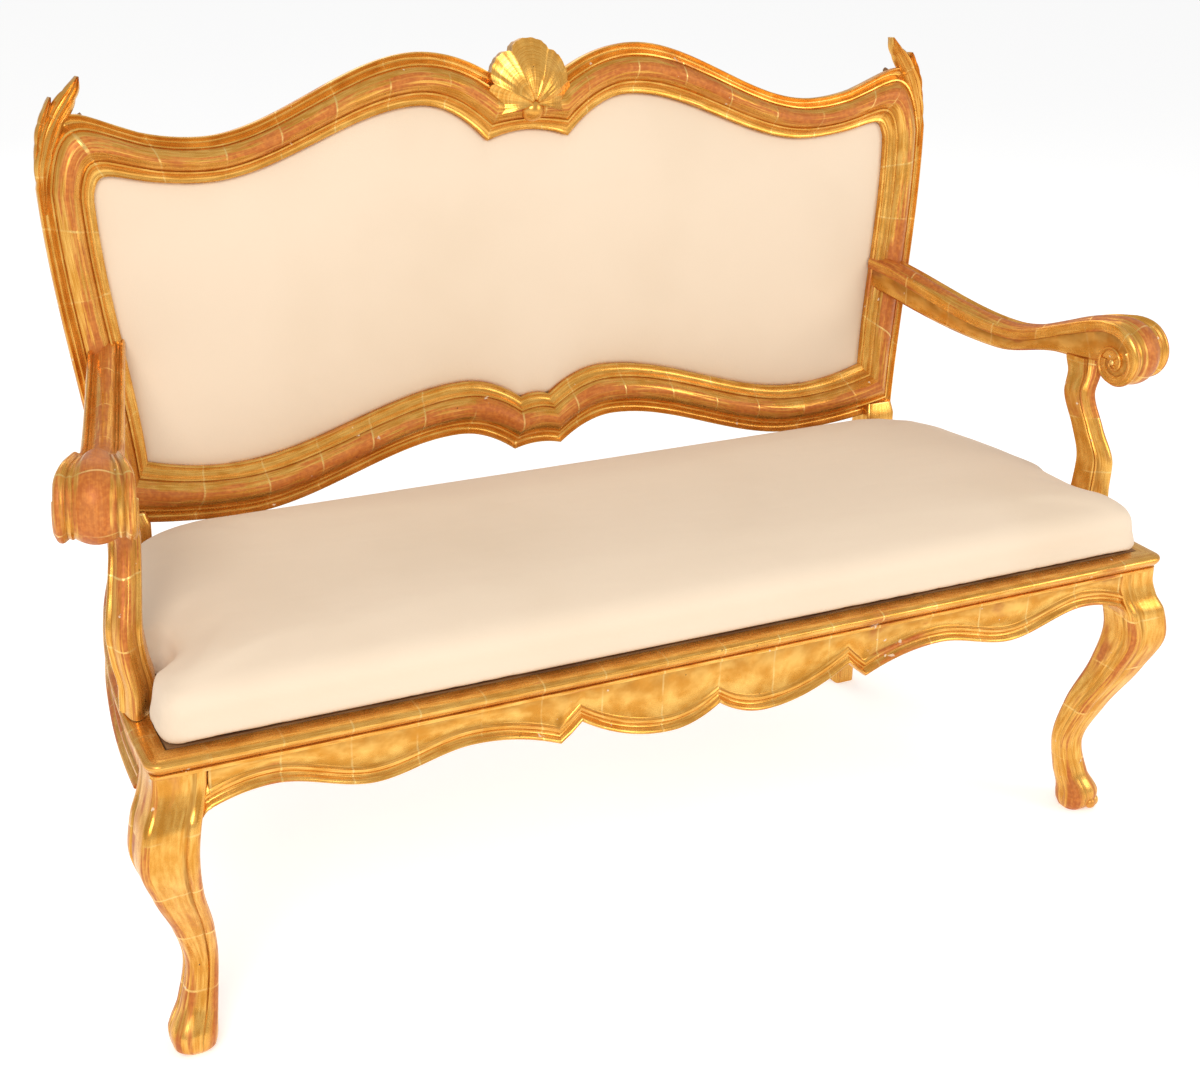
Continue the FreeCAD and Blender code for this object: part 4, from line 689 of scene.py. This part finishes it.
ARM_ROOT = Vector((600, 535))
ARM_DIR = Vector((126, -442)).normalized()
ARM_OUT = Vector((-ARM_DIR.y, ARM_DIR.x))
EYE_S = 424.0  # the scroll's eye, along the arm
EYE_Z = 655.0
VOLUTE_Z = EYE_Z - 2
SCROLL_FROM, SCROLL_TO = 100, -180  # degrees that the arm's top turns through
CHEEK_DRAWN = 2.6  # how far the arm's sides lie in from its moulded edge
CROTCH = (332.0, 640.0)  # where the arm's underside meets its support


def on_arm(s, z, out):
    """Place at a distance along the right arm, a height, and a distance out from its middle."""
    spot = ARM_ROOT + ARM_DIR * s + ARM_OUT * out
    return at(spot.x, spot.y, z)


def scroll_point(degrees):
    radius = 24 + 27 * (degrees - SCROLL_TO) / (SCROLL_FROM - SCROLL_TO)
    angle = math.radians(degrees)
    return (EYE_S + radius * math.cos(angle), EYE_Z + radius * math.sin(angle))


def arm_half(s):
    """Half the arm's width at a distance along it."""
    return track(((-24, 23), (235, 25), (379, 28), (416, 35), (449, 42.5), (500, 43.5)), s)[0]


# the arm's top: share of its half width, and height over its outline
ARM_TOP = trace((-1.0, -3.5), (
    ((-0.74, -1.0), 0.4, 0.0, (-0.88, 2.0), 5),
    ((-0.70, -3.0), 0.2, 0.9),
    ((-0.60, -1.2), 0.3, 0.1),
    ((-0.54, -2.6), 0.2, 0.9),
    ((0.54, -2.6), 1.0, 0.0, (0.0, 5.0), 13),
    ((0.60, -1.2), 0.3, 0.1),
    ((0.70, -3.0), 0.2, 0.9),
    ((0.74, -1.0), 0.3, 0.0),
    ((1.0, -3.5), 0.4, 0.0, (0.88, 2.0), 5),
))


def arm_path():
    """Top outline of the arm, each place with the matched inner end of its section."""
    start, dip, belly, heel = (-22.0, 697.0), (235.0, 652.0), (225.0, 619.0), (-22.0, 656.0)
    crown = scroll_point(SCROLL_FROM)
    hump = (crown[0] - 22, crown[1] - 3)
    top = [start] + cubic(start, dip, -0.10, 0, 22) + cubic(dip, hump, 0, 0.2, 18)
    below = [CROTCH] + cubic(CROTCH, belly, 0.0, 0, 12) + cubic(belly, heel, 0, -0.22, 24)
    below.reverse()
    pairs = []
    for s, z in top:
        share = min(1.0, (s - CROTCH[0]) / (hump[0] - CROTCH[0]))
        if share < 0:
            pairs.append(((s, z), (s, read_line(below, s))))
        else:
            pairs.append(((s, z), (s + (EYE_S - hump[0]) * share, CROTCH[1] + (EYE_Z - 4 - CROTCH[1]) * share**2)))
    for degrees in range(SCROLL_FROM, SCROLL_TO - 1, -8):
        share = (SCROLL_FROM - degrees) / (SCROLL_FROM - SCROLL_TO)
        pairs.append((scroll_point(degrees), (EYE_S + 3 * share, EYE_Z - 1 + share)))
    return pairs


def arm_ring(s, z, low_s, low_z):
    """Section of the arm from its top outline down to the matched place."""
    down = Vector((low_s - s, low_z - z))
    deep = down.length
    down.normalize()
    cheek = [(8.0, 0.0), (13.0, 0.2), (14.5, CHEEK_DRAWN), (deep - 4.0, CHEEK_DRAWN), (deep, 6.0)]
    spots = [(share, -height, 0.0) for share, height, _, _ in ARM_TOP]
    spots += [(1, min(depth, deep), drawn) for depth, drawn in cheek]
    spots += [(-1, min(depth, deep), drawn) for depth, drawn in reversed(cheek)]
    ring = []
    for share, depth, drawn in spots:
        place = s + down.x * depth
        ring.append(on_arm(place, z + down.y * depth, share * (arm_half(place) - drawn)))
    return ring


def sweep_volute(skin, side):
    """The raised spiral and the eye on one cheek of the scroll."""
    rings, marks = [], []
    for step in range(73):
        t = step / 72
        angle = math.radians(40 - 560 * t)
        radius = 31 - 5.5 * min(1.0, t * 3) - 20.0 * max(0.0, t - 0.33) / 0.67
        s = EYE_S + radius * math.cos(angle)
        z = VOLUTE_Z + radius * math.sin(angle)
        thick = 3.6 - 1.5 * t
        ring = []
        for part in range(8):
            turn = math.radians(45 * part)
            off = thick * math.cos(turn)
            lift = arm_half(s) - CHEEK_DRAWN + thick * 1.1 * math.sin(turn) * 1.2
            ring.append(on_arm(s + off * math.cos(angle), z + off * math.sin(angle), side * lift))
        rings.append(ring)
        marks.append([(0.4, 0.2 * t, 0.3)] * 8)
    skin.sweep(rings, marks)
    skin.ball(on_arm(EYE_S, VOLUTE_Z, side * (arm_half(EYE_S) - CHEEK_DRAWN)), 5.0, 0.4)


def build_arm():
    """Moulded right arm whose top rolls over into a scroll, with a volute on each side."""
    skin = Skin()
    rings = [arm_ring(*top, *low) for top, low in arm_path()]
    cheek = [(None, None, wear, hollow)
             for wear, hollow in ((0.25, 0.1), (0.3, 0.1), (0.1, 0.9), (0.1, 0.15), (0.35, 0.1))]
    section = ARM_TOP + cheek + cheek[::-1]
    skin.sweep(rings, marks_for(section, [ring[len(ARM_TOP) // 2] for ring in rings]))
    for side in (1, -1):
        sweep_volute(skin, side)
    return skin


# the support's plan, in shares of half its depth and half its width
SUPPORT_SECTION = trace((-1.0, -0.86), (
    ((-0.92, -1.0), 0.4, 0.1),
    ((0.20, -1.0), 0.15, 0.1),
    ((0.30, -0.97), 0.35, 0.0),
    ((0.36, -0.84), 0.2, 0.9),
    ((0.44, -0.86), 0.3, 0.0),
    ((0.48, -0.68), 0.2, 0.8),
    ((0.48, 0.68), 0.75, 0.0, (1.16, 0.0), 13),
    ((0.44, 0.86), 0.3, 0.0),
    ((0.36, 0.84), 0.2, 0.9),
    ((0.30, 0.97), 0.35, 0.0),
    ((0.20, 1.0), 0.15, 0.1),
    ((-0.92, 1.0), 0.4, 0.1),
    ((-1.0, 0.86), 0.4, 0.1),
))


def build_support():
    """S-shaped right arm support with a rounded front between fillets."""
    top = CROTCH[1] + 4
    back_s = 345.0
    front_s = scroll_point(SCROLL_TO)[0] - 8
    stations = (
        # height, middle along the arm, inward, depth, width
        (RAIL_TOP, 417, 32, 60, 40),
        (434.0, 416, 32, 55, 40),
        (468.0, 413, 25, 46, 40),
        (503.0, 412, 21, 44, 40),
        (550.0, 395, 23.5, 37, 37),
        (596.0, 376, 25, 37, 35),
        (622.0, 374, 16, 40, 35),
        (top, (back_s + front_s) / 2, 10.4, front_s - back_s, 37),
    )
    skin = Skin()
    rings = []
    count = 44
    for step in range(count + 1):
        z = RAIL_TOP + (top - RAIL_TOP) * step / count
        s, inward, deep, wide = track(stations, z)
        rings.append([on_arm(s + along * deep / 2, z, -inward + across * wide / 2)
                      for along, across, _, _ in SUPPORT_SECTION])
    skin.sweep(rings, marks_for(SUPPORT_SECTION, [ring[0] for ring in rings]))
    return skin


def build_arms():
    for side, hand in SIDES:
        build_arm().for_side(hand).into(f"scrolled_arm_{side}", material("Gilding, rubbed"), [f"arm_{side}"])
        build_support().for_side(hand).into(f"curved_arm_support_{side}", material("Gilding"),
                                            [f"arm_support_{side}"])


# seat rails

REAR_HALF = 612.0  # half the seat's width behind
REAR_Y = 498.0
SIDE_CHORD = Vector((REAR_HALF - FRONT_HALF, REAR_Y))
SIDE_BOW = 22.0
SIDE_RADIUS = (SIDE_CHORD.length**2 / 4 + SIDE_BOW**2) / (2 * SIDE_BOW)
SIDE_OUT = Vector((SIDE_CHORD.y, -SIDE_CHORD.x)).normalized()
SIDE_CENTRE = Vector((FRONT_HALF + REAR_HALF, REAR_Y)) / 2 - SIDE_OUT * (SIDE_RADIUS - SIDE_BOW)


def side_x(y, inset=0.0):
    """Half width of the seat at y, drawn in by an inset."""
    return SIDE_CENTRE.x + math.sqrt((SIDE_RADIUS - inset)**2 - (y - SIDE_CENTRE.y)**2)


# a rail's top: how far in from the face, and height
EDGE_DEEP = 20.0
RAIL_EDGE = trace((EDGE_DEEP, REST_Z), (
    ((EDGE_DEEP, RAIL_TOP - 1.2), 0.1, 0.2),
    ((-1.5, 392.8), 0.30, 0.21, (-6.2, 406.3), 16),
    ((1.5, 391.3), 0.1, 0.9),
    ((-1.8, 390.4), 0.3, 0.0),
    ((-2.2, 386.6), 0.3, 0.0),
    ((0.6, 385.2), 0.1, 0.7),
))
LIP_TALL = 21.0


def lip_section(low):
    """A rail's face, moulded lip, underside and back, for one height of its lower edge."""
    return trace((0.6, 385.2), (
        ((0.8, low + LIP_TALL + 1), 0.25, 0.1),
        ((-0.2, low + LIP_TALL - 0.6), 0.1, 0.9),
        ((-3.2, low + LIP_TALL - 2.6), 0.4, 0.0),
        ((-3.4, low + LIP_TALL - 6.0), 0.3, 0.1),
        ((-4.2, low + 7.6), 0.1, 0.4, (-0.6, low + 10.8), 5),
        ((-4.0, low + 0.6), 0.5, 0.0, (-8.0, low + 3.6), 6),
        ((1.0, low), 0.5, 0.2),
        ((30.0, low), 0.4, 0.6),
        ((32.0, low + 2.0), 0.4, 0.6),
        ((32.0, REST_Z), 0.3, 0.6),
    ))[1:]


def apron_line():
    """Lower edge of the front rail's right half, leg to centre."""
    end, arch, belly, ogee = (BLOCK_IN, 340.0), (572.0, 354.0), (450.0, 327.0), (332.0, 348.0)
    cusp, notch, lobe, middle = (218.0, 323.0), (191.0, 347.0), (68.0, 307.0), (0.0, 331.0)
    line = [end] + cubic(end, arch, parabola_slope(end, arch), 0, 14) + cubic(arch, belly, 0, 0, 16)
    line += cubic(belly, ogee, 0, 0, 16) + cubic(ogee, cusp, 0, parabola_slope(cusp, ogee), 14)
    line += [(204.5, 334.0), notch] + cubic(notch, lobe, parabola_slope(notch, lobe), 0, 16)
    return line + cubic(lobe, middle, 0, parabola_slope(middle, lobe), 10)


def sweep_rail(skin, place, stops):
    """Sweeps a rail's sections; place() turns a stop, an inset and a height into a place."""
    rings = [[place(stop, inward, z) for inward, z, _, _ in section] for stop, section in stops]
    skin.sweep(rings, [mark_for(section, stop * MM) for stop, section in stops])


def build_front_rail():
    half = apron_line()
    line = half + [(-x, z) for x, z in reversed(half[:-1])]
    skin = Skin()
    sweep_rail(skin, at, [(x, RAIL_EDGE + lip_section(low)) for x, low in line])
    # the lip runs on behind each leg's face and down into the knee
    knee = ((14.0, 20.0), (10.5, 11.0), (7.0, 5.5), (3.5, 2.0), (-1.0, 0.0))
    stops = [(BLOCK_IN + on, lip_section(half[0][1] - drop)) for on, drop in knee]
    sweep_rail(skin, lambda x, inward, z: at(x, inward, min(z, 388.0)), stops)
    sweep_rail(skin, lambda x, inward, z: at(-x, inward, min(z, 388.0)), stops)
    skin.into("front_rail_and_apron", material("Gilding"), ["front_rail"])


def build_side_rails():
    start, count = 2 * BLOCK_HALF, 40
    stops = []
    for step in range(count + 1):
        turn = math.pi * step / count
        low = 344.0 + 6 * math.sin(turn)**2 - 3 * math.sin(2 * turn)**2
        stops.append((start + (REAR_Y - start) * step / count, RAIL_EDGE + lip_section(low)))
    for side, hand in SIDES:
        skin = Skin()
        sweep_rail(skin, lambda y, inward, z: at(side_x(y, inward), y, z), stops)
        skin.for_side(hand).into(f"bowed_side_rail_{side}", material("Gilding, rubbed"), [f"side_rail_{side}"])


LEG_STATIONS = (
    # height, stands out from the block, side, corner radius, groove depth
    (0.0, -17, 37, 15, 0.0),
    (8.0, -15, 49, 18, 0.0),
    (26.0, -14.5, 54, 20, 0.6),
    (57.0, -24, 43, 14, 1.6),
    (104.0, -31, 37, 11, 2.2),
    (164.0, -18.6, 45, 10, 2.4),
    (236.0, 6.65, 56, 9, 2.6),
    (292.0, 19, 66, 9, 2.6),
    (328.0, 14.0, 65, 8, 2.0),
    (350.0, 5.0, 62.5, 7, 0.8),
    (374.0, 0.3, 60.3, 5, 0.0),
    (390.0, 0.0, 60, 4, 0.0),
)


def leg_ring(z):
    """Right leg at one height: a square with a bead by each inner edge of its outer faces."""
    out, side, corner, groove = track(LEG_STATIONS, z)
    middle = (FRONT_HALF - BLOCK_HALF + out, BLOCK_HALF - out)
    half = side / 2
    ring, mark = [], []
    # the four faces in turn: front, outer side, back, inner side
    faces = (((0, -1), (1, 0)), ((1, 0), (0, 1)), ((0, 1), (-1, 0)), ((-1, 0), (0, -1)))
    beads = ((0.13, 0.0), (0.0, 0.13), (0.0, 0.0), (0.0, 0.16))
    flat = half - corner
    for (normal, along), (first, last) in zip(faces, beads):
        spots = [(-1.0, 0.0, 0)]
        if first:
            spots += [(-1 + first * 2, 0.0, 0), (-1 + first * 2 + 0.07, 1.0, 1), (-1 + first * 2 + 0.2, 0.7, 1)]
        spots += [(-0.3, 0.15 if first or last else 0.0, 0), (0.3, 0.15 if first or last else 0.0, 0)]
        if last:
            spots += [(1 - last * 2 - 0.2, 0.7, 1), (1 - last * 2 - 0.07, 1.0, 1), (1 - last * 2, 0.0, 0)]
        spots.append((1.0, 0.0, 0))
        for share, sunk, deep in spots:
            reach = half - sunk * groove
            x = middle[0] + normal[0] * reach + along[0] * share * flat
            y = middle[1] + normal[1] * reach + along[1] * share * flat
            ring.append(at(x, y, z))
            mark.append((0.35 if not deep else 0.1, z * MM, 0.75 * deep))
        turn_x, turn_y = along
        for step in range(1, 5):
            angle = math.pi / 2 * step / 5
            x = middle[0] + (normal[0] + turn_x) * flat
            y = middle[1] + (normal[1] + turn_y) * flat
            x += corner * (normal[0] * math.cos(angle) + turn_x * math.sin(angle))
            y += corner * (normal[1] * math.cos(angle) + turn_y * math.sin(angle))
            ring.append(at(x, y, z))
            mark.append((0.75, z * MM, 0.0))
    return ring, mark


def corner_section():
    """The rail's edge carried round the right leg block's outer corner."""
    radius, back = 9.0, 2 * BLOCK_HALF
    # outer place, inner place and the way out
    stops = [((BLOCK_IN, 0.0), (BLOCK_IN, EDGE_DEEP), (0, -1))]
    for step in range(9):
        angle = math.radians(-90 + 90 * step / 8)
        normal = (math.cos(angle), math.sin(angle))
        outer = (FRONT_HALF - radius + radius * normal[0], radius + radius * normal[1])
        stops.append((outer, (FRONT_HALF - EDGE_DEEP, EDGE_DEEP), normal))
    stops.append(((side_x(back), back), (side_x(back, EDGE_DEEP), back), (1, 0)))
    section = RAIL_EDGE + [(EDGE_DEEP, 385.2, 0.2, 0.5)]
    rings = []
    for outer, inner, normal in stops:
        ring = []
        for inward, z, _, _ in section:
            share, proud = max(inward, 0.0) / EDGE_DEEP, max(-inward, 0.0)
            ring.append(at(*(a + (b - a) * share + way * proud for a, b, way in zip(outer, inner, normal)), z))
        rings.append(ring)
    return rings, [mark_for(section, 0.008 * index) for index in range(len(rings))]


def build_legs():
    for side, hand in SIDES:
        skin = Skin()
        rings, marks = zip(*(leg_ring(REST_Z * step / 90) for step in range(91)))
        skin.sweep(rings, marks)
        skin.sweep(*corner_section())
        for step in (-1, 0, 1) if side == "right" else ():
            turn = math.radians(-45 + 24 * step)
            toe = at(FRONT_HALF - BLOCK_HALF - 15 + 24 * math.cos(turn), BLOCK_HALF + 15 + 24 * math.sin(turn), 12)
            skin.ball(toe, 9.5 - abs(step), 0.6)
        skin.for_side(hand).into(f"cabriole_leg_{side}", material("Gilding"), [f"front_leg_{side}"], 42)


# upholstery

def evaluated_mesh(piece):
    """The piece's mesh as its modifiers leave it."""
    graph = bpy.context.evaluated_depsgraph_get()
    return bpy.data.meshes.new_from_object(piece.evaluated_get(graph))


def swap_mesh(piece, mesh):
    piece.modifiers.clear()
    piece.data = mesh


CLOTH_FRAMES = 20


def puff(piece, held_below, limit):
    """Lets air pressure round the cloth, held where it is tacked; moves stay within a limit."""
    before = [vert.co.copy() for vert in piece.data.vertices]
    held = piece.vertex_groups.new(name="held")
    held.add([vert.index for vert in piece.data.vertices if vert.co.z < held_below], 1.0, "ADD")
    cloth = piece.modifiers.new("cloth", "CLOTH")
    for name, value in (("quality", 4), ("mass", 0.3), ("tension_stiffness", 12), ("compression_stiffness", 12),
                        ("bending_stiffness", 0.6), ("vertex_group_mass", "held"), ("use_pressure", True),
                        ("uniform_pressure_force", 4.0)):
        setattr(cloth.settings, name, value)
    cloth.settings.effector_weights.gravity = 0.0
    cloth.collision_settings.use_collision = False
    cloth.point_cache.frame_end = CLOTH_FRAMES
    scene = bpy.context.scene
    for step in range(1, CLOTH_FRAMES + 1):
        scene.frame_set(step)
    mesh = evaluated_mesh(piece)
    scene.frame_set(1)
    for vert, old in zip(mesh.vertices, before):
        move = vert.co - old
        if move.length > limit:
            vert.co = old + move * (limit / move.length)
    swap_mesh(piece, mesh)


def seat_on_lip(mesh):
    """Squares the pad's foot, so that the cloth comes down onto the rails."""
    low, high, lip = 0.4143, 0.440, 0.4104  # the foot's old height, where it starts to move, its new height
    reach, front_reach = 0.0062, 0.0048  # how far out the foot goes, and how much further in front
    normals = [vert.normal.copy() for vert in mesh.vertices]
    for vert, normal in zip(mesh.vertices, normals):
        if vert.co.z >= high:
            continue
        share = min(1.0, (high - vert.co.z) / (high - low))
        in_notch = abs(vert.co.x) > 0.636 and -0.212 < vert.co.y < -0.094
        level = Vector((normal.x, normal.y, 0))
        if level.length > 0.25:
            level.normalize()
            out = reach * (0.2 if in_notch else 1.0) + front_reach * max(0.0, -level.y)
            vert.co += level * (out * share**2)
        vert.co.z = high - (high - lip) * share


SOFT_FROM = 0.434  # height of the pad's upright sides
HELD_BELOW = 0.428


def build_seat_pad():
    looks = bpy.context.scene.settee
    piece = new_piece("stuffed_seat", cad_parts["seat_pad"].data.copy())
    remesh = piece.modifiers.new("even mesh", "REMESH")
    remesh.mode = "VOXEL"
    remesh.voxel_size = looks.pad_voxel
    swap_mesh(piece, evaluated_mesh(piece))
    work = bmesh.new()
    work.from_mesh(piece.data)
    soft = [vert for vert in work.verts if vert.co.z > SOFT_FROM]
    for _ in range(3):
        bmesh.ops.smooth_vert(work, verts=soft, factor=0.5, use_axis_x=True, use_axis_y=True, use_axis_z=True)
    work.to_mesh(piece.data)
    work.free()
    puff(piece, HELD_BELOW, looks.pad_puff)
    seat_on_lip(piece.data)
    finer = piece.modifiers.new("finer", "SUBSURF")
    finer.levels = finer.render_levels = 1
    swap_mesh(piece, evaluated_mesh(piece))
    settle(piece, material("Calico"), "seat", ["seat_pad"])


def build_back_panel():
    """Taut cloth over the back stuffing, its edge tucked behind the moulding."""
    tuck = 2.0
    stile = [(z, x) for x, z in reversed(STILE_IN)]
    work = bmesh.new()
    bmesh.ops.create_grid(work, x_segments=128, y_segments=56, size=1.0)
    for vert in work.verts:
        u, v = vert.co.x, vert.co.y
        share = 0.5 + 0.5 * v
        # the stile's half width is read at about the height that the spot will have
        x = u * 590.0
        z = read_line(PANEL_LOW_LINE, x) * (1 - share) + read_line(PANEL_TOP_LINE, x) * share
        x = u * (read_line(stile, z) + tuck)
        low, top = read_line(PANEL_LOW_LINE, x) - tuck, read_line(PANEL_TOP_LINE, x) + tuck
        z = low + (top - low) * share
        swell = (1 - abs(u)**5) * (1 - abs(v)**4)
        roll = (1 - abs(u)**40) * (1 - abs(v)**24)
        vert.co = on_back(x, z, -5.4 + 4.4 * roll + 14.0 * swell)
    rim = [edge for edge in work.edges if edge.is_boundary]
    made = bmesh.ops.extrude_edge_only(work, edges=rim)["geom"]
    fresh = [item for item in made if isinstance(item, bmesh.types.BMVert)]
    bmesh.ops.translate(work, verts=fresh, vec=LEAN * -0.0012)
    bmesh.ops.contextual_create(work, geom=[edge for edge in work.edges if edge.is_boundary])
    bmesh.ops.recalc_face_normals(work, faces=work.faces)
    panel = new_piece("stuffed_back", into_mesh(work, "stuffed_back"))
    settle(panel, material("Calico"), "frame", ["back_pad"], 60)


PAIRS = ("rear_corner_block", "front_corner_block", "panel_frame_side", "seat_frame_side", "seat_frame_brace")
NODE_LOOKS = {
    "Old timber": ("rear_rail", "panel_frame_top", "panel_frame_bottom", "seat_frame_front", "seat_frame_rear",
                   "tenon_pegs", "back_frame_dowels", *(f"{part}_{side}" for part in PAIRS for side, _ in SIDES)),
    "Jute webbing": ("back_webbing", "seat_webbing"),
    "Lining cloth": ("outside_back_cloth", "seat_hessian", "seat_dust_cover"),
    "Dull steel": ("arm_support_screws",),
}


def dress_inner_parts():
    for look, nodes in NODE_LOOKS.items():
        for node in nodes:
            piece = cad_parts[node]
            if not piece.material_slots:
                piece.data.materials.append(material(look))
            for slot in piece.material_slots:
                slot.material = material(look)


# stage

def staged(name, data):
    """An object of the stage, which is no part of the settee."""
    holder = new_piece(name, data)
    return holder


def build_floor(looks):
    work = bmesh.new()
    bmesh.ops.create_grid(work, x_segments=1, y_segments=1, size=30.0)
    mesh = into_mesh(work, "floor")
    mesh.materials.append(Graph("Pale floor", "stage").finish({
        "Base Color": (*looks.floor, 1), "Roughness": 1.0, "Specular IOR Level": 0.0,
        "Emission Color": (1, 1, 1, 1), "Emission Strength": looks.floor_glow}))
    staged("floor", mesh)


def build_world(looks):
    """White to the camera, dimmer as a light."""
    world = bpy.data.worlds.new("studio")
    world.use_nodes = True
    tree = world.node_tree
    backdrop = tree.nodes["Background"]
    path = tree.nodes.new("ShaderNodeLightPath")
    level = tree.nodes.new("ShaderNodeMath")
    level.operation = "MULTIPLY_ADD"
    tree.links.new(path.outputs["Is Camera Ray"], level.inputs[0])
    level.inputs[1].default_value = 1.0 - looks.sky
    level.inputs[2].default_value = looks.sky
    tree.links.new(level.outputs[0], backdrop.inputs["Strength"])
    backdrop.inputs["Color"].default_value = (1, 1, 1, 1)
    bpy.context.scene.world = world


def build_lamps(looks):
    for name, place, wide, share in (("key", (-2.2, -3.0, 3.0), 2.0, 1.0), ("fill", (2.6, -2.4, 1.9), 1.8, 0.32),
                                     ("rim", (0.3, 2.6, 2.6), 2.4, 0.28)):
        lamp = bpy.data.lights.new(name, "AREA")
        lamp.shape = "DISK"
        lamp.size = wide
        lamp.energy = looks.key * share
        lamp.color = (1.0, 0.965, 0.92)
        holder = staged(name, lamp)
        holder.location = place
        holder.rotation_euler = (Vector((0, 0, 0.5)) - holder.location).to_track_quat("-Z", "Y").to_euler()


# the photograph's camera, in the photograph's pixels where no unit is named
PHOTO_WIDE, PHOTO_MIDDLE = 1200, (600.0, 541.5)
LENS = 1951
LENS_MIDDLE = (600.4, 433.1)
SENSOR = 36.0  # millimetres
CAMERA_PLACE = (-1158.7, -1805.1, 1477.4)
YAW, PITCH, ROLL = (math.radians(angle) for angle in (28.474, -20.504, 2.429))


def build_camera():
    camera = bpy.data.cameras.new("camera")
    camera.sensor_width = SENSOR
    camera.lens = SENSOR * LENS / PHOTO_WIDE
    camera.shift_x = (PHOTO_MIDDLE[0] - LENS_MIDDLE[0]) / PHOTO_WIDE
    camera.shift_y = (LENS_MIDDLE[1] - PHOTO_MIDDLE[1]) / PHOTO_WIDE
    ahead = Vector((math.sin(YAW) * math.cos(PITCH), math.cos(YAW) * math.cos(PITCH), math.sin(PITCH)))
    right = Vector((math.cos(YAW), -math.sin(YAW), 0))
    up = right.cross(ahead)
    side = right * math.cos(ROLL) + up * math.sin(ROLL)
    top = up * math.cos(ROLL) - right * math.sin(ROLL)
    turn = Matrix((side, top, -ahead)).transposed().to_4x4()
    holder = staged("camera", camera)
    holder.matrix_world = Matrix.Translation(at(*CAMERA_PLACE)) @ turn
    bpy.context.scene.camera = holder


def build_stage():
    looks = bpy.context.scene.settee
    build_floor(looks)
    build_world(looks)
    build_lamps(looks)
    build_camera()
    bpy.context.scene.view_settings.view_transform = "Standard"


# the add-on

def colour(name, words, default):
    return bpy.props.FloatVectorProperty(name=name, description=words, default=default, subtype="COLOR", size=3,
                                         min=0.0, max=1.0)


def number(name, words, default, low, high, **kind):
    return bpy.props.FloatProperty(name=name, description=words, default=default, min=low, max=high, **kind)


class SetteeLooks(bpy.types.PropertyGroup):
    """Sizes and colours of the settee's looks."""

    gold_deep: colour("Deep gold", "Gold where it lies in shade", (0.64, 0.275, 0.036))
    gold_light: colour("Light gold", "Gold where it is burnished", (0.92, 0.53, 0.13))
    bole: colour("Bole", "Red clay under the gold", (0.40, 0.070, 0.009))
    cloth: colour("Calico", "Cloth in the light", (0.80, 0.655, 0.50))
    cloth_shade: colour("Calico, aged", "Cloth where it has yellowed", (0.72, 0.575, 0.42))
    floor: colour("Floor", "Colour of the floor", (0.93, 0.93, 0.93))
    floor_glow: number("Floor glow", "Light the paper floor gives off itself", 0.36, 0.0, 1.0)
    wear: number("Wear", "How much bole shows through the gold", 0.5, 0.0, 1.0, subtype="FACTOR")
    leaf_size: number("Leaf size", "Width of a sheet of gold leaf", 0.08, 0.02, 0.2, unit="LENGTH")
    shell_lobes: bpy.props.IntProperty(name="Shell lobes", description="Number of lobes of the shell", default=5,
                                       min=3, max=11)
    pad_voxel: number("Pad mesh size", "Mesh size of the seat pad", 0.009, 0.005, 0.02, unit="LENGTH")
    pad_puff: number("Pad puff", "Furthest the stuffing moves the cloth", 0.003, 0.0, 0.02, unit="LENGTH")
    sky: number("Surrounding light", "Strength of the even light", 0.62, 0.0, 2.0)
    key: number("Main lamp", "Power of the main lamp", 88.0, 0.0, 1000.0, unit="POWER")


class PieceOperator:
    """Shared run of a building step."""

    bl_options = {"REGISTER", "UNDO"}
    build = None

    def execute(self, context):
        type(self).build()
        return {"FINISHED"}


def operator(idname, label, words, build):
    """Operator class for one building step."""
    parts = idname.split(".")
    name = f"{parts[0].upper()}_OT_{parts[1]}"
    return type(name, (PieceOperator, bpy.types.Operator),
                {"__doc__": words, "bl_idname": idname, "bl_label": label, "build": staticmethod(build)})


OPERATORS = (
    operator("settee.back_frame", "Back frame", "Builds the crest, the lower rail and the posts", build_back_frame),
    operator("settee.carving", "Carving", "Builds the shell and the ear leaves", build_carving),
    operator("settee.arms", "Arms", "Builds the arms and their supports", build_arms),
    operator("settee.front_rail", "Front rail", "Builds the front rail with its apron", build_front_rail),
    operator("settee.side_rails", "Side rails", "Builds the bowed side rails", build_side_rails),
    operator("settee.legs", "Front legs", "Builds the cabriole legs", build_legs),
    operator("settee.seat_pad", "Seat pad", "Builds the stuffed seat", build_seat_pad),
    operator("settee.back_panel", "Back panel", "Builds the stuffed back", build_back_panel),
    operator("settee.inner_parts", "Inner parts", "Gives the plain parts their materials", dress_inner_parts),
    operator("settee.stage", "Stage", "Builds the floor, the light and the camera", build_stage),
)


class SETTEE_PT_panel(bpy.types.Panel):
    """Lists the settee's building steps."""

    bl_label = "Settee"
    bl_idname = "SETTEE_PT_panel"
    bl_space_type = "VIEW_3D"
    bl_region_type = "UI"
    bl_category = "Settee"

    def draw(self, context):
        for step in OPERATORS:
            self.layout.operator(step.bl_idname)


CLASSES = (SetteeLooks, *OPERATORS, SETTEE_PT_panel)


def register():
    for item in CLASSES:
        bpy.utils.register_class(item)
    bpy.types.Scene.settee = bpy.props.PointerProperty(type=SetteeLooks)


def unregister():
    del bpy.types.Scene.settee
    for item in reversed(CLASSES):
        bpy.utils.unregister_class(item)


def main():
    register()
    for step in OPERATORS:
        group, name = step.bl_idname.split(".")
        getattr(getattr(bpy.ops, group), name)()


if __name__ == "__main__":
    main()
